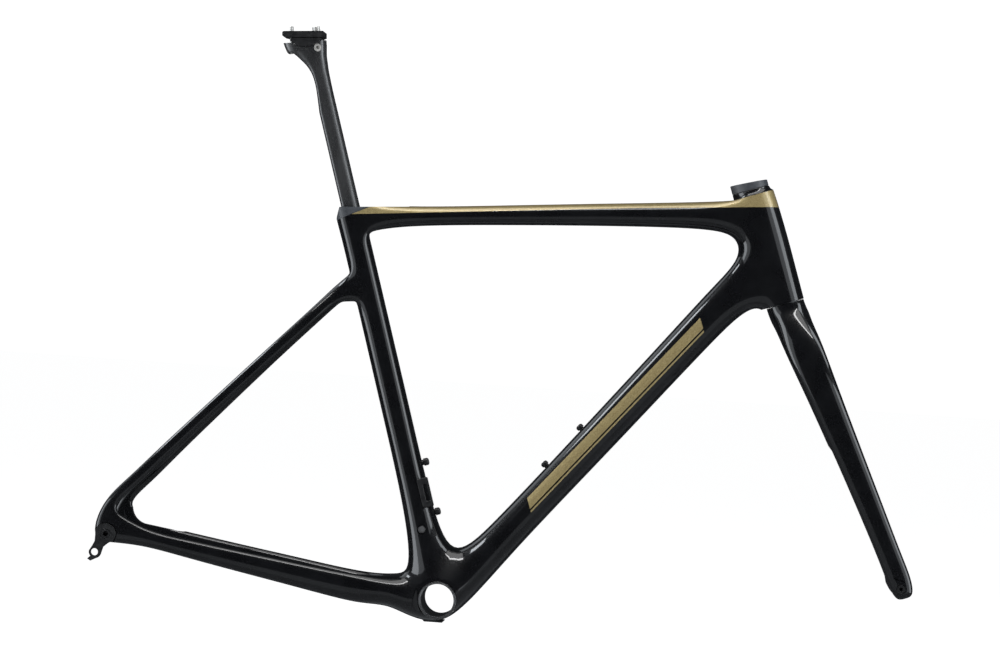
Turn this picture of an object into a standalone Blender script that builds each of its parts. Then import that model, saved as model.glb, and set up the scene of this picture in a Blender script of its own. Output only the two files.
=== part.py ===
"""A carbon road frameset for disc brakes: frame, fork, headset, seatpost and saddle clamp.

Metres. +X points forward, +Y to the rider's left, +Z up, with both axles level.
The origin is the centre of the bottom bracket.
"""

import math
from collections import namedtuple

import bmesh
import bpy
from mathutils import Matrix, Vector

# Frame geometry
CHAINSTAY_LENGTH = 0.420
BOTTOM_BRACKET_DROP = 0.056
WHEELBASE = 0.991
SEAT_ANGLE = math.radians(72.9)
HEAD_ANGLE = math.radians(70.7)
SEAT_TUBE_LENGTH = 0.5085
HEAD_TUBE_LENGTH = 0.141
FORK_LENGTH = 0.380
FORK_RAKE = 0.0435
TOP_TUBE_DROP = 0.015
TOP_TUBE_HEAD_DROP = 0.0254
DOWN_TUBE_JOIN = 0.066
SEAT_STAY_JOIN = 0.425

# Hub, bottom bracket and steerer standards
REAR_SPACING = 0.142
FRONT_SPACING = 0.100
AXLE_RADIUS = 0.006
AXLE_HEAD_RADIUS = 0.009
SHELL_WIDTH = 0.0865
SHELL_BORE_RADIUS = 0.0205
SHELL_RADIUS = 0.024
STEERER_RADIUS = 0.0143
STEERER_BASE_RADIUS = 0.0165
STEERER_BORE_RADIUS = 0.011
STEERER_STUB = 0.012
LOWER_BEARING_RADIUS = 0.022
UPPER_BEARING_RADIUS = 0.0209
BEARING_HEIGHT = 0.007
BOTTLE_BOLT_SPACING = 0.064
BRAKE_BOLT_SPACING = 0.034
FORK_BRAKE_BOLT_SPACING = 0.070

# Seatpost and saddle clamp
SADDLE_HEIGHT = 0.7242
SADDLE_SETBACK = 0.0054
CLAMP_LEVEL = math.radians(4.0)
POST_INSERTION = 0.1235
POST_FRONT = 0.0150
POST_REAR = 0.0077
POST_HALF_WIDTH = 0.0145
POST_WALL = 0.0025
POST_BORE_DEPTH = 0.2785
RAIL_RADIUS = 0.0035
RAIL_SPREAD = 0.022
TILT_LIMIT = math.radians(7.0)

# Fits
SEAM = 0.0003
CLEARANCE = 0.0003
ROUND_STEPS = 24
SMALL_ROUND_STEPS = 16
SMALL_RADIUS = 0.0095
SMOOTH_ANGLE = math.radians(35)

# A tube's cross-section: how far along the axis it sits, its reach to each side of the axis in the
# side plane, and its full width across
Section = namedtuple("Section", "at above below width")
# A stay's or blade's cross-section: its share of the way along, its middle in the side plane, its share
# of the way out to the dropout, its depth in the side plane and its width across
Limb = namedtuple("Limb", "at offset across depth width")

TUBE_SQUARENESS = 0.78
LIMB_SQUARENESS = 0.58
CROOK_CREASE = 0.5

SEAT_TUBE_SECTIONS = (
    Section(SEAT_TUBE_LENGTH + 0.0315, 0.0177, 0.0172, 0.0380),
    Section(SEAT_TUBE_LENGTH - 0.0005, 0.0181, 0.0174, 0.0380),
    Section(SEAT_TUBE_LENGTH - 0.0165, 0.0181, 0.0174, 0.0370),
    Section(SEAT_TUBE_LENGTH - 0.0385, 0.0181, 0.0167, 0.0360),
    Section(SEAT_STAY_JOIN + 0.0210, 0.0182, 0.0165, 0.0350),
    Section(SEAT_STAY_JOIN - 0.0010, 0.0182, 0.0165, 0.0350),
    Section(SEAT_STAY_JOIN - 0.0230, 0.0182, 0.0165, 0.0350),
    Section(SEAT_STAY_JOIN - 0.0400, 0.0182, 0.0165, 0.0350),
    Section(SEAT_STAY_JOIN - 0.0800, 0.0182, 0.0165, 0.0350),
    Section(0.230, 0.0182, 0.0167, 0.0360),
    Section(0.125, 0.0178, 0.0169, 0.0420),
)
HEAD_TUBE_SECTIONS = (
    Section(HEAD_TUBE_LENGTH, 0.0241, 0.0250, 0.0490),
    Section(HEAD_TUBE_LENGTH - 0.015, 0.0250, 0.0286, 0.0495),
    Section(HEAD_TUBE_LENGTH - 0.043, 0.0256, 0.0355, 0.0500),
    Section(DOWN_TUBE_JOIN + 0.004, 0.0257, 0.0368, 0.0505),
    Section(DOWN_TUBE_JOIN - 0.026, 0.0252, 0.0320, 0.0510),
    Section(DOWN_TUBE_JOIN - 0.060, 0.0248, 0.0270, 0.0510),
    Section(-0.024, 0.0245, 0.0250, 0.0510),
)
# The sections from here on are placed by their share of the way along
TOP_TUBE_SECTIONS = (
    Section(0.125, 0.0120, 0.0108, 0.0330),
    Section(0.370, 0.0136, 0.0110, 0.0360),
    Section(0.610, 0.0152, 0.0127, 0.0400),
    Section(0.780, 0.0158, 0.0151, 0.0430),
    Section(0.885, 0.0168, 0.0184, 0.0460),
)
DOWN_TUBE_SECTIONS = (
    Section(0.185, 0.0160, 0.0258, 0.0560),
    Section(0.430, 0.0178, 0.0260, 0.0520),
    Section(0.630, 0.0198, 0.0250, 0.0500),
    Section(0.770, 0.0217, 0.0244, 0.0500),
    Section(0.870, 0.0230, 0.0252, 0.0500),
)
CHAINSTAY_YOKE = Section(0.145, 0.0200, 0.0180, 0.0840)
CHAINSTAY_LIMBS = (
    Limb(0.225, -0.0060, 0.483, 0.0350, 0.0200),
    Limb(0.330, -0.0052, 0.593, 0.0318, 0.0175),
    Limb(0.470, -0.0028, 0.703, 0.0288, 0.0165),
    Limb(0.620, -0.0008, 0.814, 0.0256, 0.0155),
    Limb(0.770, 0.0018, 0.910, 0.0224, 0.0145),
    Limb(0.880, 0.0038, 0.972, 0.0190, 0.0135),
)
SEAT_STAY_YOKE = Section(0.112, 0.0095, 0.0120, 0.0330)
SEAT_STAY_LIMBS = (
    Limb(0.185, -0.0006, 0.262, 0.0162, 0.0125),
    Limb(0.356, 0.0003, 0.428, 0.0158, 0.0118),
    Limb(0.594, 0.0003, 0.662, 0.0156, 0.0116),
    Limb(0.796, 0.0003, 0.855, 0.0154, 0.0116),
    Limb(0.908, -0.0007, 0.952, 0.0148, 0.0120),
    Limb(0.988, 0.0007, 1.007, 0.0142, 0.0125),
)
FORK_CROWN_SECTIONS = (
    Section(-0.022, 0.0240, 0.0240, 0.0480),
    Section(0.004, 0.0240, 0.0240, 0.0490),
    Section(0.020, 0.0252, 0.0222, 0.0580),
)
# A blade's offset is a share of the rake
FORK_BLADE_LIMBS = (
    Limb(0.137, 0.163, 0.600, 0.0440, 0.0240),
    Limb(0.224, 0.257, 0.764, 0.0400, 0.0205),
    Limb(0.342, 0.383, 0.845, 0.0352, 0.0185),
    Limb(0.526, 0.594, 0.918, 0.0296, 0.0165),
    Limb(0.724, 0.813, 0.964, 0.0246, 0.0150),
    Limb(0.895, 0.978, 0.991, 0.0222, 0.0140),
    Limb(0.979, 1.036, 1.000, 0.0250, 0.0138),
    Limb(1.036, 1.054, 1.000, 0.0190, 0.0138),
)
STAY_REACH = REAR_SPACING / 2 + 0.0015
BLADE_REACH = FRONT_SPACING / 2 + 0.0050


def direction(angle):
    return Vector((math.cos(angle), math.sin(angle)))


def in_space(point, across=0.0):
    """A point of the side plane, moved across by a distance to the left."""
    return Vector((point.x, across, point.y))


class Axis:
    """A straight line in the side plane, with the normal that its sections reach along."""

    def __init__(self, start, end, turn):
        self.start = start
        self.length = (end - start).length
        self.along = (end - start).normalized()
        self.normal = Vector((-self.along.y, self.along.x)) * turn

    def point(self, distance, offset=0.0):
        return self.start + self.along * distance + self.normal * offset

    def space(self, distance, offset=0.0, across=0.0):
        return in_space(self.point(distance, offset), across)


BOTTOM_BRACKET = Vector((0.0, 0.0))
REAR_AXLE = Vector((-math.sqrt(CHAINSTAY_LENGTH**2 - BOTTOM_BRACKET_DROP**2), BOTTOM_BRACKET_DROP))
FRONT_AXLE = REAR_AXLE + Vector((WHEELBASE, 0.0))
STEERING_UP = direction(math.pi - HEAD_ANGLE)
STEERING_FORWARD = direction(math.pi / 2 - HEAD_ANGLE)
CROWN = FRONT_AXLE - STEERING_FORWARD * FORK_RAKE + STEERING_UP * FORK_LENGTH
HEAD = Axis(CROWN, CROWN + STEERING_UP * HEAD_TUBE_LENGTH, -1)
FORK = Axis(CROWN, CROWN - STEERING_UP * FORK_LENGTH, 1)
SEAT = Axis(BOTTOM_BRACKET, direction(math.pi - SEAT_ANGLE) * SEAT_TUBE_LENGTH, -1)
TOP = Axis(SEAT.point(SEAT_TUBE_LENGTH - TOP_TUBE_DROP), HEAD.point(HEAD_TUBE_LENGTH - TOP_TUBE_HEAD_DROP), 1)
DOWN = Axis(BOTTOM_BRACKET, HEAD.point(DOWN_TUBE_JOIN), 1)
CHAIN = Axis(BOTTOM_BRACKET, REAR_AXLE, -1)
SEAT_STAY_END = REAR_AXLE + Vector((0.0045, 0.0420))
STAY = Axis(SEAT.point(SEAT_STAY_JOIN), SEAT_STAY_END, -1)
CLAMP_MIDDLE = SEAT.point(SADDLE_HEIGHT, -SADDLE_SETBACK)
CLAMP = Axis(CLAMP_MIDDLE, CLAMP_MIDDLE + direction(CLAMP_LEVEL), 1)


def new_object(name, mesh):
    body = bpy.data.objects.new(name, mesh)
    bpy.context.scene.collection.objects.link(body)
    return body


def apply_modifiers(body):
    depsgraph = bpy.context.evaluated_depsgraph_get()
    mesh = bpy.data.meshes.new_from_object(body.evaluated_get(depsgraph))
    body.modifiers.clear()
    body.data = mesh
    return body


# A straight line in space, with two directions across it
Line = namedtuple("Line", "origin along forward side")
LEFT = Vector((0.0, 1.0, 0.0))
FORWARD = Vector((1.0, 0.0, 0.0))
UP = Vector((0.0, 0.0, 1.0))


def along_line(axis, offset=0.0, across=0.0):
    return Line(axis.space(0.0, offset, across), in_space(axis.along), in_space(axis.normal), LEFT)


def normal_line(axis, distance, across=0.0):
    """The line square to an axis, measured from the axis."""
    return Line(axis.space(distance, 0.0, across), in_space(axis.normal), in_space(axis.along), LEFT)


def cross_line(point):
    """The line straight across the frame, measured to the left."""
    return Line(in_space(point), LEFT, FORWARD, UP)


def oval(line, distance, front, rear, half_width, slope=0.0, steps=ROUND_STEPS):
    """A ring across a line, whose plane drops towards the front by the slope."""
    ring = []
    for step in range(steps):
        turn = math.tau * step / steps
        reach = math.cos(turn) * (front if math.cos(turn) > 0 else rear)
        place = line.origin + line.along * (distance - slope * reach)
        ring.append(place + line.forward * reach + line.side * (math.sin(turn) * half_width))
    return ring


def circle(line, distance, radius, slope=0.0, steps=ROUND_STEPS):
    return oval(line, distance, radius, radius, radius, slope, steps)


def solid(name, rings, hollow=False):
    """A closed body skinned over rings, capped at both ends, or joined end to end round a hole."""
    shape = bmesh.new()
    loops = [[shape.verts.new(point) for point in ring] for ring in rings]
    count = len(loops[0])
    for first, second in zip(loops, loops[1:] + loops[:1] if hollow else loops[1:]):
        for i in range(count):
            j = (i + 1) % count
            shape.faces.new((first[i], first[j], second[j], second[i]))
    if not hollow:
        shape.faces.new(loops[0])
        shape.faces.new(loops[-1])
    bmesh.ops.recalc_face_normals(shape, faces=shape.faces)
    mesh = bpy.data.meshes.new(name)
    shape.to_mesh(mesh)
    shape.free()
    return new_object(name, mesh)


def turned(name, line, profile, hollow=False):
    """A turned body, whose profile is a list of distances along the line and radii."""
    largest = max(radius for _, radius in profile)
    steps = SMALL_ROUND_STEPS if largest < SMALL_RADIUS else ROUND_STEPS
    rings = [circle(line, distance, radius, steps=steps) for distance, radius in profile]
    return solid(name, rings, hollow)


def drill(line, start, end, radius):
    return turned("drill", line, [(start, radius), (end, radius)])


def prism(name, outline, low, high):
    """An outline in the side plane, drawn out across the frame."""
    return solid(name, [[in_space(point, across) for point in outline] for across in (low, high)])


def box(axis, span, reach, low, high, name="cutter"):
    corners = ((span[0], reach[0]), (span[1], reach[0]), (span[1], reach[1]), (span[0], reach[1]))
    return prism(name, [axis.point(*corner) for corner in corners], low, high)


def saw(axis, distance, reach, half_width):
    """A thin cut square to an axis."""
    return box(axis, (distance - SEAM / 2, distance + SEAM / 2), (-reach, reach), -half_width, half_width)


def arc(centre, radius, start, end, steps):
    """Points along an arc in the side plane, between two angles in degrees."""
    angles = [math.radians(start + (end - start) * step / steps) for step in range(steps + 1)]
    return [centre + direction(angle) * radius for angle in angles]


def cut(body, cutters):
    tools = bpy.data.collections.new("Cutters")
    for cutter in cutters:
        tools.objects.link(cutter)
    boolean = body.modifiers.new("Cut", "BOOLEAN")
    boolean.operation = "DIFFERENCE"
    boolean.solver = "EXACT"
    boolean.operand_type = "COLLECTION"
    boolean.collection = tools
    apply_modifiers(body)
    for cutter in cutters:
        bpy.data.objects.remove(cutter)
    bpy.data.collections.remove(tools)
    return body


def loose_parts(shape):
    """The separate bodies of a mesh, as lists of their corners."""
    parts = []
    seen = set()
    for first in shape.verts:
        if first in seen:
            continue
        seen.add(first)
        part = [first]
        for corner in part:
            for edge in corner.link_edges:
                other = edge.other_vert(corner)
                if other not in seen:
                    seen.add(other)
                    part.append(other)
        parts.append(part)
    return parts


def split(body, spots):
    """Divides a sawn body into its sections, each named by the spot that it lies nearest to."""
    shape = bmesh.new()
    shape.from_mesh(body.data)
    parts = loose_parts(shape)
    sections = []
    for name, spot in spots.items():
        part = min(parts, key=lambda corners: min((corner.co - spot).length for corner in corners))
        number = {corner: i for i, corner in enumerate(part)}
        faces = [[number[corner] for corner in face.verts] for face in shape.faces if face.verts[0] in number]
        mesh = bpy.data.meshes.new(name)
        mesh.from_pydata([corner.co for corner in part], [], faces)
        sections.append(new_object(name, mesh))
    shape.free()
    bpy.data.objects.remove(body)
    return sections


class Cage:
    """The left half of a quad control mesh, whose open edge lies in the middle plane."""

    def __init__(self):
        self.points = []
        self.quads = []
        self.creases = []

    def add(self, point):
        self.points.append(point)
        return len(self.points) - 1

    def crease(self, near, far, weight):
        """Holds an edge sharp, fully at a weight of one."""
        self.creases.append((near, far, weight))

    def half_ring(self, axis, distance, section, squareness=TUBE_SQUARENESS):
        """Rim, edge, side, edge and rim of half a tube, from its upper or front rim to its other one."""
        swell = 3.0 / (2.0 + squareness)
        above = section.above * swell
        below = section.below * swell
        half = section.width / 2 * swell
        corner = half * squareness
        middle = (section.above - section.below) / 2
        spots = (
            (above, 0.0),
            (above * squareness, corner),
            (middle, half),
            (-below * squareness, corner),
            (-below, 0.0),
        )
        return [self.add(axis.space(distance, offset, across)) for offset, across in spots]

    def limb_ring(self, middle, normal, limb, reach):
        """A stay's closed ring: inner upper edge, outer upper edge, outer side, and so round."""
        tall = limb.depth / 2 * 48 / 46
        half = limb.width / 2 * 6 / (4 + 2 * LIMB_SQUARENESS)
        corner = half * LIMB_SQUARENESS
        spots = ((tall, -corner), (tall, corner), (0, half), (-tall, corner), (-tall, -corner), (0, -half))
        across = limb.across * reach
        return [self.add(in_space(middle + normal * up, across + out)) for up, out in spots]

    def bridge(self, first, second, closed=False, skip=None):
        count = len(first)
        for i in range(count if closed else count - 1):
            if i == skip:
                continue
            j = (i + 1) % count
            self.quads.append((first[i], first[j], second[j], second[i]))

    def close_half(self, ring):
        """Caps the end of a half ring."""
        middle = self.add((self.points[ring[0]] + self.points[ring[4]]) / 2)
        self.quads.append((ring[0], ring[1], ring[2], middle))
        self.quads.append((middle, ring[2], ring[3], ring[4]))

    def close_limb(self, ring):
        self.quads.append((ring[0], ring[1], ring[2], ring[5]))
        self.quads.append((ring[5], ring[2], ring[3], ring[4]))

    def fork_out(self, ring):
        """Turns a half ring into the first ring of a limb, split at a crotch in the middle plane."""
        crotch = self.add((self.points[ring[0]] + self.points[ring[4]]) / 2)
        return [*ring, crotch]

    def smooth_mesh(self, name, levels):
        """The mirrored, subdivided mesh."""
        shape = bmesh.new()
        corners = [shape.verts.new(point) for point in self.points]
        for quad in self.quads:
            shape.faces.new([corners[i] for i in quad])
        crease = shape.edges.layers.float.new("crease_edge")
        for near, far, weight in self.creases:
            shape.edges.get((corners[near], corners[far]))[crease] = weight
        loose = [corner for corner in corners if not corner.link_faces]
        bmesh.ops.delete(shape, geom=loose, context="VERTS")
        bmesh.ops.recalc_face_normals(shape, faces=shape.faces)
        mesh = bpy.data.meshes.new(name)
        shape.to_mesh(mesh)
        shape.free()
        body = new_object(name, mesh)
        mirror = body.modifiers.new("Mirror", "MIRROR")
        mirror.use_axis = (False, True, False)
        mirror.merge_threshold = 0.00001
        rounding = body.modifiers.new("Subdivision", "SUBSURF")
        rounding.levels = levels
        rounding.render_levels = levels
        return apply_modifiers(body)


# Control points of the bottom bracket's junction: the side-plane place and the distance across
JUNCTION = {
    "crook": (0.0108, 0.0442, 0.0230),
    "seat_side": (-0.0110, 0.0420, 0.0370),
    "heel": (-0.0352, 0.0305, 0.0270),
    "stay_side": (-0.0400, 0.0040, 0.0465),
    "stay_floor": (-0.0390, -0.0232, 0.0380),
    "floor": (0.0, -SHELL_RADIUS - 0.0088, 0.0400),
    "down_floor": (0.0318, -0.0114, 0.0300),
    "down_side": (0.0280, 0.0180, 0.0450),
    "middle": (0.0, 0.0, SHELL_WIDTH / 2 + 0.0200),
}


def frame_cage():
    cage = Cage()
    seat = [cage.half_ring(SEAT, section.at, section) for section in SEAT_TUBE_SECTIONS]
    head = [cage.half_ring(HEAD, section.at, section) for section in HEAD_TUBE_SECTIONS]
    top = [cage.half_ring(TOP, section.at * TOP.length, section) for section in TOP_TUBE_SECTIONS]
    down = [cage.half_ring(DOWN, section.at * DOWN.length, section) for section in DOWN_TUBE_SECTIONS]

    # The seat tube leaves room for the top tube in front and the seat stays behind
    for i in range(len(seat) - 1):
        cage.bridge(seat[i], seat[i + 1], skip={1: 0, 2: 0, 5: 3, 6: 3}.get(i))
    cage.close_half(seat[0])
    # The head tube leaves room for the top and down tubes behind
    for i in range(len(head) - 1):
        cage.bridge(head[i], head[i + 1], skip={0: 3, 1: 3, 3: 3, 4: 3}.get(i))
    cage.close_half(head[0])
    cage.close_half(head[-1])

    at_seat = [seat[1][0], seat[1][1], seat[2][1], seat[3][1], seat[3][0]]
    at_head = [head[0][4], head[0][3], head[1][3], head[2][3], head[2][4]]
    run = [at_seat, *top, at_head]
    for i in range(len(run) - 1):
        cage.bridge(run[i], run[i + 1])
    # The head tube's top is flat, and the crooks round the seat tube are tight
    for i in range(4):
        cage.crease(head[0][i], head[0][i + 1], 1.0)
    cage.crease(seat[3][0], seat[3][1], CROOK_CREASE)
    cage.crease(seat[5][3], seat[5][4], CROOK_CREASE)
    cage.crease(seat[7][3], seat[7][4], CROOK_CREASE)

    # The junction round the bottom bracket
    side = {name: cage.add(in_space(Vector((x, z)), across)) for name, (x, z, across) in JUNCTION.items()}
    rim = {
        name: cage.add(in_space(Vector(JUNCTION[name][:2]), 0.0))
        for name in ("crook", "heel", "stay_floor", "floor", "down_floor")
    }
    seat_foot = [rim["crook"], side["crook"], side["seat_side"], side["heel"], rim["heel"]]
    down_foot = [rim["crook"], side["crook"], side["down_side"], side["down_floor"], rim["down_floor"]]
    stay_foot = [rim["heel"], side["heel"], side["stay_side"], side["stay_floor"], rim["stay_floor"]]
    cage.bridge(seat[-1], seat_foot)
    run = [down_foot, *down, [head[3][4], head[3][3], head[4][3], head[5][3], head[5][4]]]
    for i in range(len(run) - 1):
        cage.bridge(run[i], run[i + 1])
    around = ("down_side", "crook", "seat_side", "heel", "stay_side", "stay_floor", "floor", "down_floor")
    for i in range(0, len(around), 2):
        names = ("middle", around[i], around[i + 1], around[(i + 2) % len(around)])
        cage.quads.append(tuple(side[name] for name in names))
    for near, far in (("down_floor", "floor"), ("floor", "stay_floor")):
        cage.quads.append((side[near], side[far], rim[far], rim[near]))

    # The stays, and the dropout that joins them
    yoke = cage.half_ring(CHAIN, CHAINSTAY_YOKE.at * CHAIN.length, CHAINSTAY_YOKE)
    cage.bridge(stay_foot, yoke)
    chain = [cage.fork_out(yoke)]
    for limb in CHAINSTAY_LIMBS:
        middle = CHAIN.point(limb.at * CHAIN.length, limb.offset)
        chain.append(cage.limb_ring(middle, CHAIN.normal, limb, STAY_REACH))
    at_seat = [seat[5][4], seat[5][3], seat[6][3], seat[7][3], seat[7][4]]
    yoke = cage.half_ring(STAY, SEAT_STAY_YOKE.at * STAY.length, SEAT_STAY_YOKE)
    cage.bridge(at_seat, yoke)
    stay = [cage.fork_out(yoke)]
    for limb in SEAT_STAY_LIMBS:
        middle = STAY.point(limb.at * STAY.length, limb.offset)
        stay.append(cage.limb_ring(middle, STAY.normal, limb, STAY_REACH))
    for run in (chain, stay):
        for i in range(len(run) - 1):
            cage.bridge(run[i], run[i + 1], closed=True)
    add_dropout(cage, chain[-1], stay[-1])
    return cage


# Control points of a rear dropout, from the axle
DROPOUT = {
    "corner": (0.0092, 0.0285),
    "chain_side": (0.0200, 0.0040),
    "chain_floor": (0.0120, -0.0112),
    "tip": (-0.0180, -0.0110),
    "stay_back": (-0.0140, 0.0230),
    "stay_side": (-0.0040, 0.0270),
    "middle": (0.0, 0.0040),
}
DROPOUT_OUTSIDE = REAR_SPACING / 2 + 0.0100
DROPOUT_INSIDE = REAR_SPACING / 2 - 0.0050


def add_dropout(cage, chain, stay):
    outer = {}
    inner = {}
    for name, place in DROPOUT.items():
        spot = REAR_AXLE + Vector(place)
        outer[name] = cage.add(in_space(spot, DROPOUT_OUTSIDE))
        inner[name] = cage.add(in_space(spot, DROPOUT_INSIDE))
    cage.bridge(chain, dropout_ring(inner, outer, "corner", "chain_side", "chain_floor"), closed=True)
    cage.bridge(stay, dropout_ring(inner, outer, "stay_back", "stay_side", "corner"), closed=True)
    for face in (outer, inner):
        cage.quads.append(tuple(face[n] for n in ("middle", "chain_side", "corner", "stay_side")))
        cage.quads.append(tuple(face[n] for n in ("middle", "stay_side", "stay_back", "tip")))
        cage.quads.append(tuple(face[n] for n in ("middle", "tip", "chain_floor", "chain_side")))
    cage.crease(outer["corner"], inner["corner"], CROOK_CREASE)
    for near, far in (("stay_back", "tip"), ("tip", "chain_floor")):
        cage.quads.append((outer[near], outer[far], inner[far], inner[near]))


def dropout_ring(inner, outer, upper, side, lower):
    return [inner[upper], outer[upper], outer[side], outer[lower], inner[lower], inner[side]]


def fork_cage():
    cage = Cage()
    crown = [cage.half_ring(FORK, section.at, section) for section in FORK_CROWN_SECTIONS]
    cage.close_half(crown[0])
    for i in range(len(crown) - 1):
        cage.bridge(crown[i], crown[i + 1])
    run = [cage.fork_out(crown[-1])]
    for limb in FORK_BLADE_LIMBS:
        middle = FORK.point(limb.at * FORK_LENGTH, limb.offset * FORK_RAKE)
        run.append(cage.limb_ring(middle, FORK.normal, limb, BLADE_REACH))
    for i in range(len(run) - 1):
        cage.bridge(run[i], run[i + 1], closed=True)
    cage.close_limb(run[-1])
    return cage


# Where the moulded sections meet: the distances along their axes
SEAT_TUBE_SEAM = 0.078
TOP_TUBE_SEAMS = (0.047, TOP.length - 0.060)
DOWN_TUBE_SEAMS = (0.085, DOWN.length - 0.078)
CHAINSTAY_SEAMS = (0.105, CHAIN.length - 0.085)
SEAT_STAY_SEAMS = (0.086, STAY.length - 0.026)
FORK_BLADE_SEAMS = (0.075, FORK_LENGTH - 0.030)
# The seat clamp's cover: the slanting joint below it, and its top's height over the top tube's axis
COVER_JOINT = Axis(
    SEAT.point(SEAT_TUBE_LENGTH - 0.0154, -0.0163),
    SEAT.point(SEAT_TUBE_LENGTH - 0.0088, 0.0267),
    1,
)
COVER_TOP = 0.0126
COVER_REACH = 0.0750
# The slope behind the post, from the cover's joint up to its top
COVER_SLOPE = Axis(SEAT.point(SEAT_TUBE_LENGTH - 0.0140, -0.0174), SEAT.point(SEAT_TUBE_LENGTH, -0.0093), 1)
# Longer than any wall that a cutter goes through
FAR = 0.060

# Headset
BEARING_SEAT_DEPTH = 0.0100
HEAD_BORE_RADIUS = 0.0180
CROWN_TOP = -0.0008
STEERER_SOCKET = 0.0255
STEERER_TOP = HEAD_TUBE_LENGTH + STEERER_STUB
CROWN_RACE_HEIGHT = 0.0027
HEADSET_REAR = 0.0256
COVER_HEIGHT = 0.0070
SPACER_HEIGHT = 0.0091
SPACER_SLOPE = math.tan(math.radians(4.5))
BORE_GAP = 0.0005
RACE_EDGE = 0.0010
RACE_TAPER = 0.0020
RING_FOOT = 0.0055
RING_TOP = 0.0030
EXPANDER_LENGTH = 0.0420
EXPANDER_BORE_RADIUS = 0.0035
EXPANDER_CAP_RADIUS = STEERER_RADIUS - 0.0010
EXPANDER_CAP_HEIGHT = 0.0016
PRELOAD_LENGTH = 0.0400
PRELOAD_RADIUS = 0.0032
PRELOAD_HEAD_RADIUS = 0.0058
PRELOAD_HEAD_HEIGHT = 0.0022
PRELOAD_KEY_RADIUS = 0.0022
PRELOAD_KEY_DEPTH = 0.0042

# Bottom bracket
SHELL_PROUD = 0.0006
GUIDE_SEAT = SHELL_RADIUS + 0.0025
GUIDE_SPAN = (-0.0189, 0.0088)
GUIDE_THICKNESS = 0.0025
GUIDE_HALF_WIDTH = 0.0150
GUIDE_SCREW_AT = -0.0145
GUIDE_SCREW_RADIUS = 0.0016
GUIDE_SCREW_HEAD_RADIUS = 0.0028
GUIDE_SCREW_SINK = 0.0012
GUIDE_SCREW_DEPTH = 0.0060
GUIDE_SLOPE = 0.0025
SHELL_EDGE = 0.0008
SHELL_FACE_RADIUS = SHELL_RADIUS + 0.0070

# Dropouts, hanger and axles
HUB_FACE_RADIUS = 0.0150
FRONT_HUB_FACE_RADIUS = 0.0130
HANGER_SEAT = REAR_SPACING / 2 + 0.0055
HANGER_THICKNESS = 0.0050
HANGER_RING_RADIUS = 0.0128
HANGER_RECESS = 0.0010
HANGER_EYE = REAR_AXLE + Vector((-0.0123, -0.0235))
HANGER_EYE_RADIUS = 0.0070
HANGER_HOLE_RADIUS = 0.0045
REAR_AXLE_SEAT = REAR_SPACING / 2 + 0.0060
FRONT_AXLE_SEAT = FRONT_SPACING / 2 + 0.0100
AXLE_HEAD_HEIGHT = 0.0055
REAR_AXLE_KEY_RADIUS = 0.0034
FRONT_AXLE_KEY_RADIUS = 0.0026
KEY_DEPTH = 0.0100
AXLE_EDGE = 0.0008

# Bottle bolts: where the lower one sits along its tube, and its seat's height over the tube's axis
SEAT_TUBE_BOTTLE = (SEAT, 0.1075, 0.0172, 0.0095)
DOWN_TUBE_BOTTLE = (DOWN, 0.2145, 0.0168, 0.0075)
BOTTLE_BOLT_RADIUS = 0.0025
BOTTLE_BOLT_HEAD_RADIUS = 0.0047
BOTTLE_BOLT_DEPTH = 0.0100
BOTTLE_SOCKET_RADIUS = 0.0020
BOTTLE_SOCKET_DEPTH = 0.0030
BOTTLE_BOLT_EDGE = 0.0006

# Front derailleur mount and wire plug, on the seat tube's right side
MOUNT_SPAN = (0.1157, 0.1530)
MOUNT_REACH = (0.0015, 0.0220)
MOUNT_SEAT = 0.0178
MOUNT_THICKNESS = 0.0040
MOUNT_SLOT_MIDDLE = 0.0165
MOUNT_SLOT_HALF_WIDTH = 0.0026
MOUNT_SLOT_MARGIN = 0.0080
PLUG_AT = 0.0900
PLUG_RADIUS = 0.0044
PLUG_SPAN = (-0.0225, -0.0130)
PLUG_EDGE = 0.0008

# Brake mounts on the left chainstay and the left fork blade
BRAKE_BOLT_AT = CHAIN.length - 0.0684
BRAKE_ACROSS = REAR_SPACING / 2 - 0.0010
BRAKE_PAD = 0.0116
BRAKE_PAD_MARGIN = 0.0072
SLEEVE_RADIUS = 0.0040
SLEEVE_BORE_RADIUS = 0.00275
SLEEVE_FOOT = -0.0075
FORK_PAD = Axis(FORK.point(FORK_LENGTH - 0.144, 0.0196), FORK.point(FORK_LENGTH - 0.046, 0.0312), -1)
FORK_INSERT_AT = 0.0140
FORK_INSERT_DEPTH = 0.0100
FORK_BRAKE_ACROSS = FRONT_SPACING / 2 + 0.0030

# Seat wedge, in a pocket behind the post: distances below the seat tube's top
WEDGE_FOOT = 0.0568
WEDGE_SPLIT_FRONT = 0.0430
WEDGE_SPLIT_REAR = 0.0370
WEDGE_TOP = 0.0190
WEDGE_DEPTH = 0.0070
WEDGE_HALF_WIDTH = 0.0080
WEDGE_BOLT_RADIUS = 0.0019
WEDGE_BOLT_HEAD_RADIUS = 0.0029
WEDGE_BOLT_HEAD_HEIGHT = 0.0032
WEDGE_BOLT_SHORT = 0.0020
WEDGE_KEY_RADIUS = 0.0014
WEDGE_KEY_FLOOR = 0.0008
WEDGE_POCKET_TOP = 0.0120

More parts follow.
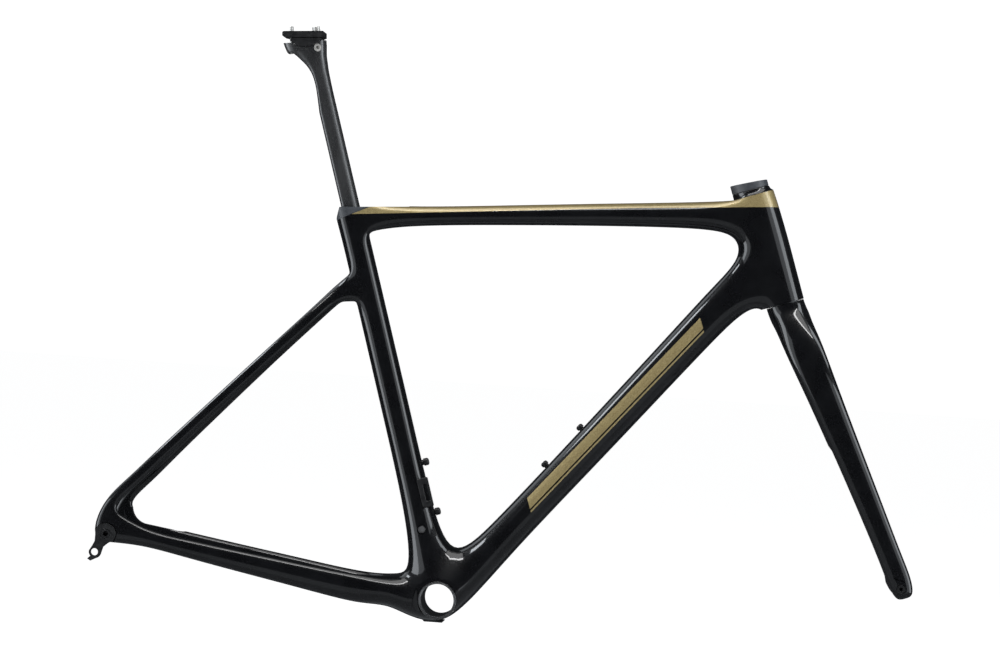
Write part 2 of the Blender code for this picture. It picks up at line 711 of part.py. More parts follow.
# Saddle clamp, along and above its own level line
TILT_AHEAD = 0.0026
TILT_ABOVE = 0.0186
CRADLE_RADIUS = 0.0280
CRADLE_SPAN = (-0.0155, 0.0232)
CRADLE_TOP = 0.0010
PLATE_FOOT = 0.0021
PLATE_TOP = 0.0099
CLAMP_HALF_WIDTH = 0.0270
RAIL_HEIGHT = 0.00155
EAR_TOP = -0.0040
LIP_TOP = -0.0006
BARREL_RADIUS = 0.0047
BARREL_HALF_LENGTH = 0.0146
CLAMP_BOLT_RADIUS = 0.0025
FRONT_BOLT = Axis(CLAMP.point(0.0179, -0.0103), CLAMP.point(0.0148, 0.0140), -1)
REAR_BOLT_AT = -0.0162
REAR_BOLT_SPAN = (-0.0168, 0.0175)
NUT_SPAN = (0.0214, 0.0273)
NUT_RADIUS = 0.0050
NUT_BORE_RADIUS = 0.0037
# Seatpost sections: below the clamp, behind and in front of the seat tube's axis, half the width
POST_HEAD_SECTIONS = (
    (0.0942, POST_REAR, POST_FRONT, POST_HALF_WIDTH),
    (0.0742, 0.0056, 0.0150, 0.0143),
    (0.0602, 0.0046, 0.0152, 0.0142),
    (0.0462, 0.0054, 0.0156, 0.0142),
    (0.0352, 0.0087, 0.0166, 0.0144),
    (0.0257, 0.0139, 0.0176, 0.0147),
    (0.0125, 0.0236, 0.0206, 0.0150),
    (0.0105, 0.0300, 0.0208, 0.0150),
    (-0.0158, 0.0335, 0.0262, 0.0150),
)

STEERING = along_line(HEAD)
SHELL_LINE = cross_line(BOTTOM_BRACKET)
REAR_LINE = cross_line(REAR_AXLE)
FRONT_LINE = cross_line(FRONT_AXLE)
LEVEL = Axis(BOTTOM_BRACKET, Vector((1.0, 0.0)), 1)


def post_ring(distance, rear, front, half_width):
    """A seatpost section: round in front and squared off behind."""
    middle = front - half_width
    ring = []
    for step in range(ROUND_STEPS):
        turn = math.tau * step / ROUND_STEPS
        reach = math.cos(turn) * half_width
        out = math.sin(turn)
        if reach < 0:
            reach = -(rear + middle) * math.sqrt(-math.cos(turn))
            out = math.copysign(math.sqrt(abs(out)), out)
        ring.append(SEAT.space(distance, middle + reach, out * half_width))
    return ring


def grown_post(start, end, growth):
    """The seatpost's lower section, grown or shrunk all round."""
    size = (POST_REAR + growth, POST_FRONT + growth, POST_HALF_WIDTH + growth)
    return solid("post", [post_ring(distance, *size) for distance in (start, end)])


def head_tube_cutters():
    """The head tube's lower end, its bore and the bearing seats."""
    top = HEAD_TUBE_LENGTH
    lower = LOWER_BEARING_RADIUS + CLEARANCE
    upper = UPPER_BEARING_RADIUS + CLEARANCE
    bore = [
        (-FAR, lower),
        (BEARING_SEAT_DEPTH, lower),
        (BEARING_SEAT_DEPTH, HEAD_BORE_RADIUS),
        (top - BEARING_SEAT_DEPTH, HEAD_BORE_RADIUS),
        (top - BEARING_SEAT_DEPTH, upper),
        (top + FAR, upper),
    ]
    return [
        drill(STEERING, -FAR, 0.0, HEADSET_REAR + 0.005),
        turned("bore", STEERING, bore),
    ]


def seat_tube_cutters():
    """The cover's top, the seatpost's bore, the wedge's pocket, and the seats on the tube."""
    top = SEAT_TUBE_LENGTH
    wedge = WEDGE_HALF_WIDTH + CLEARANCE
    pocket = (top - WEDGE_FOOT - CLEARANCE, top - WEDGE_POCKET_TOP)
    mount = (MOUNT_SPAN[0] - CLEARANCE, MOUNT_SPAN[1] + CLEARANCE)
    plug = cross_line(SEAT.point(PLUG_AT))
    return [
        box(TOP, (-FAR, COVER_REACH), (COVER_TOP, COVER_TOP + FAR), -FAR, FAR),
        grown_post(top - POST_BORE_DEPTH, top + FAR, CLEARANCE),
        box(COVER_SLOPE, (-0.010, FAR), (0.0, FAR), -FAR, FAR),
        box(SEAT, pocket, (-POST_REAR - WEDGE_DEPTH, 0.0), -wedge, wedge),
        box(SEAT, mount, (MOUNT_REACH[0] - CLEARANCE, FAR), -FAR, -MOUNT_SEAT),
        drill(plug, -FAR, PLUG_SPAN[1] + CLEARANCE, PLUG_RADIUS + CLEARANCE),
    ]


def bottle_cutters():
    cutters = []
    for axis, place, seat, _ in (SEAT_TUBE_BOTTLE, DOWN_TUBE_BOTTLE):
        for distance in (place, place + BOTTLE_BOLT_SPACING):
            shank = BOTTLE_BOLT_RADIUS + CLEARANCE
            head = BOTTLE_BOLT_HEAD_RADIUS + 2 * CLEARANCE
            profile = [(seat - BOTTLE_BOLT_DEPTH, shank), (seat, shank), (seat, head), (seat + FAR, head)]
            cutters.append(turned("seat", normal_line(axis, distance), profile))
    return cutters


def shell_cutters():
    """The bottom bracket's bore and side faces, and the cable guide's seat with its screw hole."""
    face = SHELL_WIDTH / 2 - SHELL_PROUD
    guide = (GUIDE_SPAN[0] - CLEARANCE, GUIDE_SPAN[1] + CLEARANCE)
    width = GUIDE_HALF_WIDTH + CLEARANCE
    screw = normal_line(LEVEL, GUIDE_SCREW_AT)
    return [
        drill(SHELL_LINE, -2 * FAR, 2 * FAR, SHELL_RADIUS + CLEARANCE),
        drill(SHELL_LINE, -2 * FAR, -face, SHELL_FACE_RADIUS),
        drill(SHELL_LINE, face, 2 * FAR, SHELL_FACE_RADIUS),
        box(LEVEL, guide, (-FAR, -GUIDE_SEAT), -width, width),
        drill(screw, -FAR, GUIDE_SCREW_DEPTH - GUIDE_SEAT, GUIDE_SCREW_RADIUS + CLEARANCE),
    ]


def dropout_cutters():
    """The axle's holes, the hub's faces, the hanger's recess and the brake's pad."""
    half = REAR_SPACING / 2
    below = (REAR_AXLE.y - FAR, REAR_AXLE.y - 0.0060)
    arm = (REAR_AXLE.x - 0.0300, REAR_AXLE.x + HANGER_RING_RADIUS - HANGER_RECESS)
    pad = (BRAKE_BOLT_AT - BRAKE_PAD_MARGIN, BRAKE_BOLT_AT + BRAKE_BOLT_SPACING + BRAKE_PAD_MARGIN)
    cutters = [
        drill(REAR_LINE, -2 * half, 2 * half, AXLE_RADIUS + CLEARANCE),
        drill(REAR_LINE, -half, half, HUB_FACE_RADIUS),
        drill(REAR_LINE, -2 * half, -HANGER_SEAT, HANGER_RING_RADIUS + HANGER_RECESS),
        box(LEVEL, arm, below, -2 * half, -HANGER_SEAT),
        drill(REAR_LINE, REAR_AXLE_SEAT, 2 * half, AXLE_HEAD_RADIUS + 2 * CLEARANCE),
        box(CHAIN, pad, (BRAKE_PAD, BRAKE_PAD + 0.016), BRAKE_ACROSS - 0.016, BRAKE_ACROSS + 0.020),
    ]
    for distance in (BRAKE_BOLT_AT, BRAKE_BOLT_AT + BRAKE_BOLT_SPACING):
        line = normal_line(CHAIN, distance, BRAKE_ACROSS)
        cutters.append(drill(line, -FAR, FAR, SLEEVE_RADIUS + CLEARANCE))
    return cutters


def frame_saws():
    slant = (-0.015, COVER_JOINT.length + 0.015)
    saws = [
        box(COVER_JOINT, slant, (-SEAM / 2, SEAM / 2), -FAR, FAR),
        saw(SEAT, SEAT_TUBE_SEAM, 0.032, FAR),
    ]
    for distance in TOP_TUBE_SEAMS:
        saws.append(saw(TOP, distance, 0.036, FAR))
    for distance in DOWN_TUBE_SEAMS:
        saws.append(saw(DOWN, distance, 0.040, FAR))
    for distance in CHAINSTAY_SEAMS:
        saws.append(saw(CHAIN, distance, 0.032, REAR_SPACING))
    for distance in SEAT_STAY_SEAMS:
        saws.append(saw(STAY, distance, 0.022, REAR_SPACING))
    return saws


def frame_sections():
    """The moulded frame, divided where its sections are bonded."""
    frame = frame_cage().smooth_mesh("frame", 1)
    for cutters in (
        head_tube_cutters(),
        seat_tube_cutters(),
        bottle_cutters(),
        shell_cutters(),
        dropout_cutters(),
        frame_saws(),
    ):
        cut(frame, cutters)
    spots = {
        "head_tube": HEAD.space(HEAD_TUBE_LENGTH / 2, 0.025),
        "top_tube": TOP.space(TOP.length / 2),
        "down_tube": DOWN.space(DOWN.length / 2),
        "seat_tube": SEAT.space(SEAT_TUBE_LENGTH / 2),
        "seat_clamp_cover": SEAT.space(SEAT_TUBE_LENGTH, -0.016),
        "bottom_bracket_junction": SHELL_LINE.origin,
    }
    for side, turn in (("left", 1), ("right", -1)):
        spots["chainstay_" + side] = CHAIN.space(CHAIN.length / 2, 0.0, turn * STAY_REACH * 0.72)
        spots["seatstay_" + side] = STAY.space(STAY.length / 2, 0.0, turn * STAY_REACH * 0.57)
        spots["rear_dropout_" + side] = in_space(REAR_AXLE, turn * STAY_REACH)
    return split(frame, spots)


def fork_sections():
    """The moulded fork, divided where its blades meet the crown and the dropouts."""
    half = FRONT_SPACING / 2
    fork = fork_cage().smooth_mesh("fork", 1)
    cutters = [
        drill(STEERING, CROWN_TOP, FAR, HEADSET_REAR + 0.010),
        drill(STEERING, -STEERER_SOCKET - CLEARANCE, FAR, STEERER_BASE_RADIUS + CLEARANCE),
        drill(STEERING, -FAR, 0.0, STEERER_BORE_RADIUS),
        drill(FRONT_LINE, -2 * half, 2 * half, AXLE_RADIUS + CLEARANCE),
        drill(FRONT_LINE, -half, half, FRONT_HUB_FACE_RADIUS),
        drill(FRONT_LINE, FRONT_AXLE_SEAT, 2 * half, AXLE_HEAD_RADIUS + 2 * CLEARANCE),
        box(FORK_PAD, (0.0, FORK_PAD.length), (0.0, 0.020), half - 0.020, half + 0.030),
    ]
    for distance in (FORK_INSERT_AT, FORK_INSERT_AT + FORK_BRAKE_BOLT_SPACING):
        line = normal_line(FORK_PAD, distance, FORK_BRAKE_ACROSS)
        cutters.append(drill(line, -FORK_INSERT_DEPTH - CLEARANCE, FAR, SLEEVE_RADIUS + CLEARANCE))
    cut(fork, cutters)
    cut(fork, [saw(FORK, distance, 0.070, 2 * half) for distance in FORK_BLADE_SEAMS])
    spots = {"fork_crown": FORK.space(0.030)}
    for side, turn in (("left", 1), ("right", -1)):
        spots["fork_blade_" + side] = FORK.space(FORK_LENGTH / 2, FORK_RAKE * 0.6, turn * BLADE_REACH * 0.9)
        spots["front_dropout_" + side] = in_space(FRONT_AXLE, turn * BLADE_REACH)
    return split(fork, spots)


def headset_frame_side():
    """The two bearings in the head tube's seats."""
    low = CROWN_TOP + 2 * CLEARANCE + CROWN_RACE_HEIGHT
    high = HEAD_TUBE_LENGTH - BEARING_SEAT_DEPTH + CLEARANCE
    pieces = []
    for name, start, radius, bore in (
        ("lower_bearing", low, LOWER_BEARING_RADIUS, STEERER_BASE_RADIUS + BORE_GAP),
        ("upper_bearing", high, UPPER_BEARING_RADIUS, STEERER_RADIUS + BORE_GAP),
    ):
        end = start + BEARING_HEIGHT
        profile = [(start, bore), (start, radius), (end, radius), (end, bore)]
        pieces.append(turned(name, STEERING, profile, hollow=True))
    return pieces


def steerer_pieces():
    """The steerer with its race, and the expander that holds the headset together."""
    taper = [
        (-STEERER_SOCKET, STEERER_BORE_RADIUS),
        (-STEERER_SOCKET, STEERER_BASE_RADIUS),
        (BEARING_SEAT_DEPTH + 0.002, STEERER_BASE_RADIUS),
        (HEAD_TUBE_LENGTH / 2, STEERER_RADIUS),
        (STEERER_TOP, STEERER_RADIUS),
        (STEERER_TOP, STEERER_BORE_RADIUS),
    ]
    start = CROWN_TOP + CLEARANCE
    rim = LOWER_BEARING_RADIUS - RACE_EDGE
    race = [
        (start, STEERER_BASE_RADIUS + BORE_GAP),
        (start, rim),
        (start + RACE_EDGE, rim),
        (start + CROWN_RACE_HEIGHT, rim - RACE_TAPER),
        (start + CROWN_RACE_HEIGHT, STEERER_BASE_RADIUS + BORE_GAP),
    ]
    top = STEERER_TOP + CLEARANCE
    plug = [
        (top - EXPANDER_LENGTH, EXPANDER_BORE_RADIUS),
        (top - EXPANDER_LENGTH, STEERER_BORE_RADIUS - CLEARANCE),
        (top, STEERER_BORE_RADIUS - CLEARANCE),
        (top, EXPANDER_CAP_RADIUS),
        (top + EXPANDER_CAP_HEIGHT, EXPANDER_CAP_RADIUS),
        (top + EXPANDER_CAP_HEIGHT, EXPANDER_BORE_RADIUS),
    ]
    under = top + EXPANDER_CAP_HEIGHT + CLEARANCE
    head = under + PRELOAD_HEAD_HEIGHT
    screw = [
        (top - PRELOAD_LENGTH, PRELOAD_RADIUS),
        (under, PRELOAD_RADIUS),
        (under, PRELOAD_HEAD_RADIUS),
        (head, PRELOAD_HEAD_RADIUS),
        (head, PRELOAD_KEY_RADIUS),
        (head - PRELOAD_KEY_DEPTH, PRELOAD_KEY_RADIUS),
    ]
    return [
        turned("steerer_tube", STEERING, taper, hollow=True),
        turned("crown_race", STEERING, race, hollow=True),
        turned("expander_plug", STEERING, plug, hollow=True),
        turned("preload_screw", STEERING, screw),
    ]


def headset_top():
    """The compression ring, the flared cover and the slanting spacer above the head tube."""
    bore = STEERER_RADIUS + CLEARANCE
    bearing_top = HEAD_TUBE_LENGTH - BEARING_SEAT_DEPTH + CLEARANCE + BEARING_HEIGHT
    start = bearing_top + CLEARANCE
    end = HEAD_TUBE_LENGTH
    wedge = [(start, bore), (start, bore + RING_FOOT), (end, bore + RING_TOP), (end, bore)]
    foot = HEAD_TUBE_LENGTH + CLEARANCE
    flare = (
        (0.0, 0.0246, 0.0250),
        (0.15, 0.0231, 0.0240),
        (0.45, 0.0213, 0.0225),
        (1.0, 0.0199, 0.0215),
    )
    rows = []
    for share, front, half_width in flare:
        rows.append(oval(STEERING, foot + COVER_HEIGHT * share, front, HEADSET_REAR, half_width))
    rows.append(circle(STEERING, foot + COVER_HEIGHT, bore))
    rows.append(circle(STEERING, foot, bore))
    _, front, half_width = flare[-1]
    base = foot + COVER_HEIGHT + CLEARANCE
    peak = base + SPACER_HEIGHT
    stack = [
        circle(STEERING, base, bore),
        oval(STEERING, base, front, HEADSET_REAR, half_width),
        oval(STEERING, peak, front, HEADSET_REAR, half_width, SPACER_SLOPE),
        circle(STEERING, peak, bore, SPACER_SLOPE),
    ]
    return [
        turned("compression_ring", STEERING, wedge, hollow=True),
        solid("headset_cover", rows, hollow=True),
        solid("headset_spacer", stack, hollow=True),
    ]


def bottom_bracket_pieces():
    """The shell, and the cable guide that is screwed on below it."""
    half = SHELL_WIDTH / 2
    ring = [
        (-half, SHELL_BORE_RADIUS),
        (-half, SHELL_RADIUS - SHELL_EDGE),
        (SHELL_EDGE - half, SHELL_RADIUS),
        (half - SHELL_EDGE, SHELL_RADIUS),
        (half, SHELL_RADIUS - SHELL_EDGE),
        (half, SHELL_BORE_RADIUS),
    ]
    top = -GUIDE_SEAT - CLEARANCE
    foot = top - GUIDE_THICKNESS
    rear, front = GUIDE_SPAN
    outline = [(rear, top), (front, top), (front - GUIDE_SLOPE, foot), (rear + GUIDE_SLOPE, foot)]
    guide = prism(
        "cable_guide",
        [LEVEL.point(*corner) for corner in outline],
        -GUIDE_HALF_WIDTH,
        GUIDE_HALF_WIDTH,
    )
    line = normal_line(LEVEL, GUIDE_SCREW_AT)
    sunk = foot + GUIDE_SCREW_SINK
    hole = [
        (foot - FAR, GUIDE_SCREW_HEAD_RADIUS + CLEARANCE),
        (sunk, GUIDE_SCREW_HEAD_RADIUS + CLEARANCE),
        (sunk, GUIDE_SCREW_RADIUS + CLEARANCE),
        (FAR, GUIDE_SCREW_RADIUS + CLEARANCE),
    ]
    cut(guide, [turned("hole", line, hole)])
    screw = [
        (foot, GUIDE_SCREW_HEAD_RADIUS),
        (sunk - CLEARANCE, GUIDE_SCREW_HEAD_RADIUS),
        (sunk - CLEARANCE, GUIDE_SCREW_RADIUS),
        (GUIDE_SCREW_DEPTH - CLEARANCE - GUIDE_SEAT, GUIDE_SCREW_RADIUS),
    ]
    return [
        turned("bottom_bracket_shell", SHELL_LINE, ring, hollow=True),
        guide,
        turned("cable_guide_screw", line, screw),
    ]


def hanger():
    """The derailleur hanger: a ring on the axle, an arm, a threaded eye and a stop."""
    ring = arc(REAR_AXLE, HANGER_RING_RADIUS, -42, 188, 13)
    eye = arc(HANGER_EYE, HANGER_EYE_RADIUS, 165, 228, 4)
    stop = [HANGER_EYE + Vector(corner) for corner in ((-0.0085, -0.0088), (-0.0044, -0.0114))]
    heel = arc(HANGER_EYE, HANGER_EYE_RADIUS + 0.0012, 285, 345, 4)
    arm_rear = [REAR_AXLE + Vector((-0.0129, -0.0100)), REAR_AXLE + Vector((-0.0157, -0.0160))]
    arm_front = [REAR_AXLE + Vector((-0.0019, -0.0167)), REAR_AXLE + Vector((0.0034, -0.0118))]
    outline = [*ring, *arm_rear, *eye, *stop, *heel, *arm_front]
    seat = -HANGER_SEAT - CLEARANCE
    piece = prism("derailleur_hanger", outline, seat - HANGER_THICKNESS, seat)
    thread = drill(cross_line(HANGER_EYE), -REAR_SPACING, REAR_SPACING, HANGER_HOLE_RADIUS)
    return cut(piece, [drill(REAR_LINE, -REAR_SPACING, REAR_SPACING, AXLE_RADIUS + CLEARANCE), thread])


def thru_axle(name, line, end, seat, key_radius):
    """An axle pushed in from the left, with a key hole in each end."""
    head = seat + CLEARANCE
    tip = AXLE_EDGE
    profile = [
        (end + KEY_DEPTH, key_radius),
        (end, key_radius),
        (end, AXLE_RADIUS - tip),
        (end + tip, AXLE_RADIUS),
        (head, AXLE_RADIUS),
        (head, AXLE_HEAD_RADIUS),
        (head + AXLE_HEAD_HEIGHT - tip, AXLE_HEAD_RADIUS),
        (head + AXLE_HEAD_HEIGHT, AXLE_HEAD_RADIUS - tip),
        (head + AXLE_HEAD_HEIGHT, key_radius),
        (head + AXLE_HEAD_HEIGHT - KEY_DEPTH, key_radius),
    ]
    return turned(name, line, profile)


def bottle_bolts():
    pieces = []
    for tube, (axis, place, seat, height) in (
        ("seat_tube", SEAT_TUBE_BOTTLE),
        ("down_tube", DOWN_TUBE_BOTTLE),
    ):
        for level, distance in (("lower", place), ("upper", place + BOTTLE_BOLT_SPACING)):
            under = seat + CLEARANCE
            top = under + height
            profile = [
                (seat - BOTTLE_BOLT_DEPTH + CLEARANCE, BOTTLE_BOLT_RADIUS),
                (under, BOTTLE_BOLT_RADIUS),
                (under, BOTTLE_BOLT_HEAD_RADIUS),
                (top - BOTTLE_BOLT_EDGE, BOTTLE_BOLT_HEAD_RADIUS),
                (top, BOTTLE_BOLT_HEAD_RADIUS - BOTTLE_BOLT_EDGE),
                (top, BOTTLE_SOCKET_RADIUS),
                (top - BOTTLE_SOCKET_DEPTH, BOTTLE_SOCKET_RADIUS),
            ]
            pieces.append(turned(f"{tube}_bottle_bolt_{level}", normal_line(axis, distance), profile))
    return pieces


def seat_tube_fittings():
    """The slotted front derailleur mount and the plug in the wire's hole."""
    outer = -MOUNT_SEAT - CLEARANCE - MOUNT_THICKNESS
    mount = box(SEAT, MOUNT_SPAN, MOUNT_REACH, outer, -MOUNT_SEAT - CLEARANCE, "front_derailleur_mount")
    slot_span = (MOUNT_SPAN[0] + MOUNT_SLOT_MARGIN, MOUNT_SPAN[1] - MOUNT_SLOT_MARGIN)
    slot_reach = (MOUNT_SLOT_MIDDLE - MOUNT_SLOT_HALF_WIDTH, MOUNT_SLOT_MIDDLE + MOUNT_SLOT_HALF_WIDTH)
    cut(mount, [box(SEAT, slot_span, slot_reach, -FAR, 0.0)])
    start, end = PLUG_SPAN
    profile = [(start, PLUG_RADIUS - PLUG_EDGE), (start + PLUG_EDGE, PLUG_RADIUS), (end, PLUG_RADIUS)]
    return [mount, turned("wire_plug", cross_line(SEAT.point(PLUG_AT)), profile)]


def brake_pieces():
    """Sleeves through the left chainstay and threaded inserts in the left fork blade."""
    pieces = {"frame": [], "fork": []}
    rear = (BRAKE_BOLT_AT, BRAKE_BOLT_AT + BRAKE_BOLT_SPACING)
    for name, distance in zip(("front", "rear"), rear):
        top = BRAKE_PAD - CLEARANCE
        profile = [
            (SLEEVE_FOOT, SLEEVE_BORE_RADIUS),
            (SLEEVE_FOOT, SLEEVE_RADIUS),
            (top, SLEEVE_RADIUS),
            (top, SLEEVE_BORE_RADIUS),
        ]
        line = normal_line(CHAIN, distance, BRAKE_ACROSS)
        pieces["frame"].append(turned("rear_brake_sleeve_" + name, line, profile, hollow=True))
    front = (FORK_INSERT_AT, FORK_INSERT_AT + FORK_BRAKE_BOLT_SPACING)
    for name, distance in zip(("upper", "lower"), front):
        profile = [
            (-FORK_INSERT_DEPTH, SLEEVE_BORE_RADIUS),
            (-FORK_INSERT_DEPTH, SLEEVE_RADIUS),
            (-CLEARANCE, SLEEVE_RADIUS),
            (-CLEARANCE, SLEEVE_BORE_RADIUS),
        ]
        line = normal_line(FORK_PAD, distance, FORK_BRAKE_ACROSS)
        pieces["fork"].append(turned("front_brake_insert_" + name, line, profile, hollow=True))
    return pieces


def seat_wedge():
    """The two wedges and the bolt that press on the seatpost's flat back."""
    top = SEAT_TUBE_LENGTH
    front = -POST_REAR - CLEARANCE
    rear = CLEARANCE - POST_REAR - WEDGE_DEPTH
    slit = CLEARANCE
    lower = [
        (top - WEDGE_FOOT, rear),
        (top - WEDGE_FOOT, front),
        (top - WEDGE_SPLIT_FRONT, front),
        (top - WEDGE_SPLIT_REAR, rear),
    ]
    upper = [
        (top - WEDGE_SPLIT_REAR + slit, rear),
        (top - WEDGE_SPLIT_FRONT + slit, front),
        (top - WEDGE_TOP, front),
        (top - WEDGE_TOP, rear),
    ]
    line = along_line(SEAT, (front + rear) / 2)
    pieces = []
    for name, outline in (("seat_wedge_lower", lower), ("seat_wedge_upper", upper)):
        corners = [SEAT.point(*corner) for corner in outline]
        block = prism(name, corners, -WEDGE_HALF_WIDTH, WEDGE_HALF_WIDTH)
        pieces.append(cut(block, [drill(line, 0.0, 2 * top, WEDGE_BOLT_RADIUS + CLEARANCE)]))
    head = top - WEDGE_TOP + CLEARANCE
    profile = [
        (top - WEDGE_FOOT + WEDGE_BOLT_SHORT, WEDGE_BOLT_RADIUS),
        (head, WEDGE_BOLT_RADIUS),
        (head, WEDGE_BOLT_HEAD_RADIUS),
        (head + WEDGE_BOLT_HEAD_HEIGHT, WEDGE_BOLT_HEAD_RADIUS),
        (head + WEDGE_BOLT_HEAD_HEIGHT, WEDGE_KEY_RADIUS),
        (head + WEDGE_KEY_FLOOR, WEDGE_KEY_RADIUS),
    ]
    return [*pieces, turned("seat_wedge_bolt", line, profile)]


def clamp_arc(radius, rear, front):
    """The rounded seat that the saddle clamp tilts on."""
    centre = CLAMP.point(TILT_AHEAD, TILT_ABOVE)
    first = -math.degrees(math.acos((rear - TILT_AHEAD) / radius) - CLAMP_LEVEL)
    last = -math.degrees(math.acos((front - TILT_AHEAD) / radius) - CLAMP_LEVEL)
    return arc(centre, radius, first, last, 10)


def seatpost():
    """The post: a D-shaped tube that sweeps back into the head under the saddle clamp."""
    foot = SEAT_TUBE_LENGTH - POST_INSERTION
    rings = [post_ring(foot, POST_REAR, POST_FRONT, POST_HALF_WIDTH)]
    for below, rear, front, half_width in POST_HEAD_SECTIONS:
        rings.append(post_ring(SADDLE_HEIGHT - below, rear, front, half_width))
    post = solid("seatpost", rings)
    rear, front = CRADLE_SPAN
    seat = clamp_arc(CRADLE_RADIUS + CLEARANCE, rear - CLEARANCE, front + 0.0004)
    over = [
        CLAMP.point(-FAR, FAR),
        CLAMP.point(-FAR, EAR_TOP),
        CLAMP.point(rear - CLEARANCE, EAR_TOP),
        *seat,
        CLAMP.point(front + 0.0010, LIP_TOP),
        CLAMP.point(FAR, LIP_TOP),
        CLAMP.point(FAR, FAR),
    ]
    hole = CLAMP_BOLT_RADIUS + CLEARANCE
    cutters = [
        prism("over", over, -FAR, FAR),
        grown_post(foot - FAR, SADDLE_HEIGHT - POST_HEAD_SECTIONS[0][0], -POST_WALL),
        drill(cross_line(FRONT_BOLT.start), -FAR, FAR, BARREL_RADIUS + CLEARANCE),
        drill(along_line(FRONT_BOLT), 0.0, FAR, hole),
        drill(normal_line(CLAMP, REAR_BOLT_AT), -FAR, FAR, hole),
    ]
    return cut(post, cutters)


def clamp_bolts():
    """The front bolt with its barrel nut, and the rear bolt."""
    front = along_line(FRONT_BOLT)
    ends = [(-BARREL_HALF_LENGTH, BARREL_RADIUS), (BARREL_HALF_LENGTH, BARREL_RADIUS)]
    barrel = turned("barrel_nut", cross_line(FRONT_BOLT.start), ends)
    cut(barrel, [drill(front, -FAR, FAR, CLAMP_BOLT_RADIUS + CLEARANCE)])
    shank = [(0.0010 - BARREL_RADIUS, CLAMP_BOLT_RADIUS), (NUT_SPAN[1] - 0.0010, CLAMP_BOLT_RADIUS)]
    rear = [(REAR_BOLT_SPAN[0], CLAMP_BOLT_RADIUS), (REAR_BOLT_SPAN[1], CLAMP_BOLT_RADIUS)]
    return [
        barrel,
        turned("clamp_bolt_front", front, shank),
        turned("clamp_bolt_rear", normal_line(CLAMP, REAR_BOLT_AT), rear),
    ]


def bolt_slots(foot, top):
    """Slots that let the clamp tilt round both bolts, for a piece between two heights."""
    swing = max(abs(foot - TILT_ABOVE), abs(top - TILT_ABOVE)) * math.sin(TILT_LIMIT)
    room = CLAMP_BOLT_RADIUS + 2 * CLEARANCE
    lean = (FRONT_BOLT.point(FRONT_BOLT.length) - FRONT_BOLT.start).dot(CLAMP.along) / FRONT_BOLT.length
    base = (FRONT_BOLT.start - CLAMP.start).dot(CLAMP.along)
    rise = (foot + top) / 2 - (FRONT_BOLT.start - CLAMP.start).dot(CLAMP.normal)
    spread = swing + room + abs(lean) * (top - foot) / 2
    slots = []
    for middle in (base + lean * rise, REAR_BOLT_AT):
        slots.append(box(CLAMP, (middle - spread, middle + spread), (foot - FAR, top + FAR), -room, room))
    return slots


def rail_grooves():
    return [
        drill(along_line(CLAMP, RAIL_HEIGHT, across), -FAR, FAR, RAIL_RADIUS + CLEARANCE / 3)
        for across in (-RAIL_SPREAD, RAIL_SPREAD)
    ]


def saddle_clamp():
    """The cradle under the saddle's rails, the plate over them and the front nut."""
    rear, front = CRADLE_SPAN
    under = clamp_arc(CRADLE_RADIUS, rear, front)
    outline = [*under, CLAMP.point(front, CRADLE_TOP), CLAMP.point(rear, CRADLE_TOP)]
    cradle = prism("clamp_cradle", outline, -CLAMP_HALF_WIDTH, CLAMP_HALF_WIDTH)
    cut(cradle, bolt_slots(TILT_ABOVE - CRADLE_RADIUS, CRADLE_TOP) + rail_grooves())
    corners = (
        (-0.0257, PLATE_FOOT + 0.0020),
        (-0.0175, PLATE_FOOT),
        (0.0222, PLATE_FOOT),
        (0.0258, PLATE_FOOT + 0.0014),
        (0.0258, PLATE_TOP),
        (-0.0235, PLATE_TOP),
        (-0.0257, PLATE_TOP - 0.0010),
    )
    plate = prism(
        "clamp_plate",
        [CLAMP.point(*corner) for corner in corners],
        -CLAMP_HALF_WIDTH,
        CLAMP_HALF_WIDTH,
    )
    cut(plate, bolt_slots(PLATE_FOOT, PLATE_TOP) + rail_grooves())
    start, end = NUT_SPAN
    ring = [(start, NUT_BORE_RADIUS), (start, NUT_RADIUS), (end, NUT_RADIUS), (end, NUT_BORE_RADIUS)]
    return [cradle, plate, turned("clamp_nut", along_line(FRONT_BOLT), ring, hollow=True)]


# Colour, roughness and metallic value
FINISHES = {
    "gloss_carbon": ((0.010, 0.010, 0.012), 0.15, 0.0),
    "olive_gold_paint": ((0.30, 0.25, 0.11), 0.25, 0.6),
    "satin_black": ((0.016, 0.016, 0.018), 0.45, 0.0),
    "blue_grey_plastic": ((0.055, 0.060, 0.068), 0.50, 0.0),
    "dark_alloy": ((0.060, 0.062, 0.066), 0.35, 0.8),
    "bearing_steel": ((0.45, 0.45, 0.46), 0.30, 1.0),
    "bright_steel": ((0.72, 0.71, 0.68), 0.22, 1.0),
    "grey_rubber": ((0.12, 0.12, 0.12), 0.70, 0.0),
}


def make_materials():
    made = {}
    for name, (colour, roughness, metallic) in FINISHES.items():
        made[name] = bpy.data.materials.new(name)
        made[name].use_nodes = True
        shader = made[name].node_tree.nodes["Principled BSDF"]
        shader.inputs["Base Color"].default_value = (*colour, 1.0)
        shader.inputs["Roughness"].default_value = roughness
        shader.inputs["Metallic"].default_value = metallic
    return made


def pivot(name, place):
    """An empty on a joint's axis, which carries the pieces that move there."""
    empty = bpy.data.objects.new(name, None)
    empty.location = place
    bpy.context.scene.collection.objects.link(empty)
    return empty


def dress(pieces, material, carrier=None):
    for piece in pieces:
        piece.data.materials.clear()
        piece.data.materials.append(material)
        piece.data.shade_smooth()
        piece.data.set_sharp_from_angle(angle=SMOOTH_ANGLE)
        if carrier:
            piece.parent = carrier
            piece.matrix_parent_inverse = Matrix.Translation(-carrier.location)


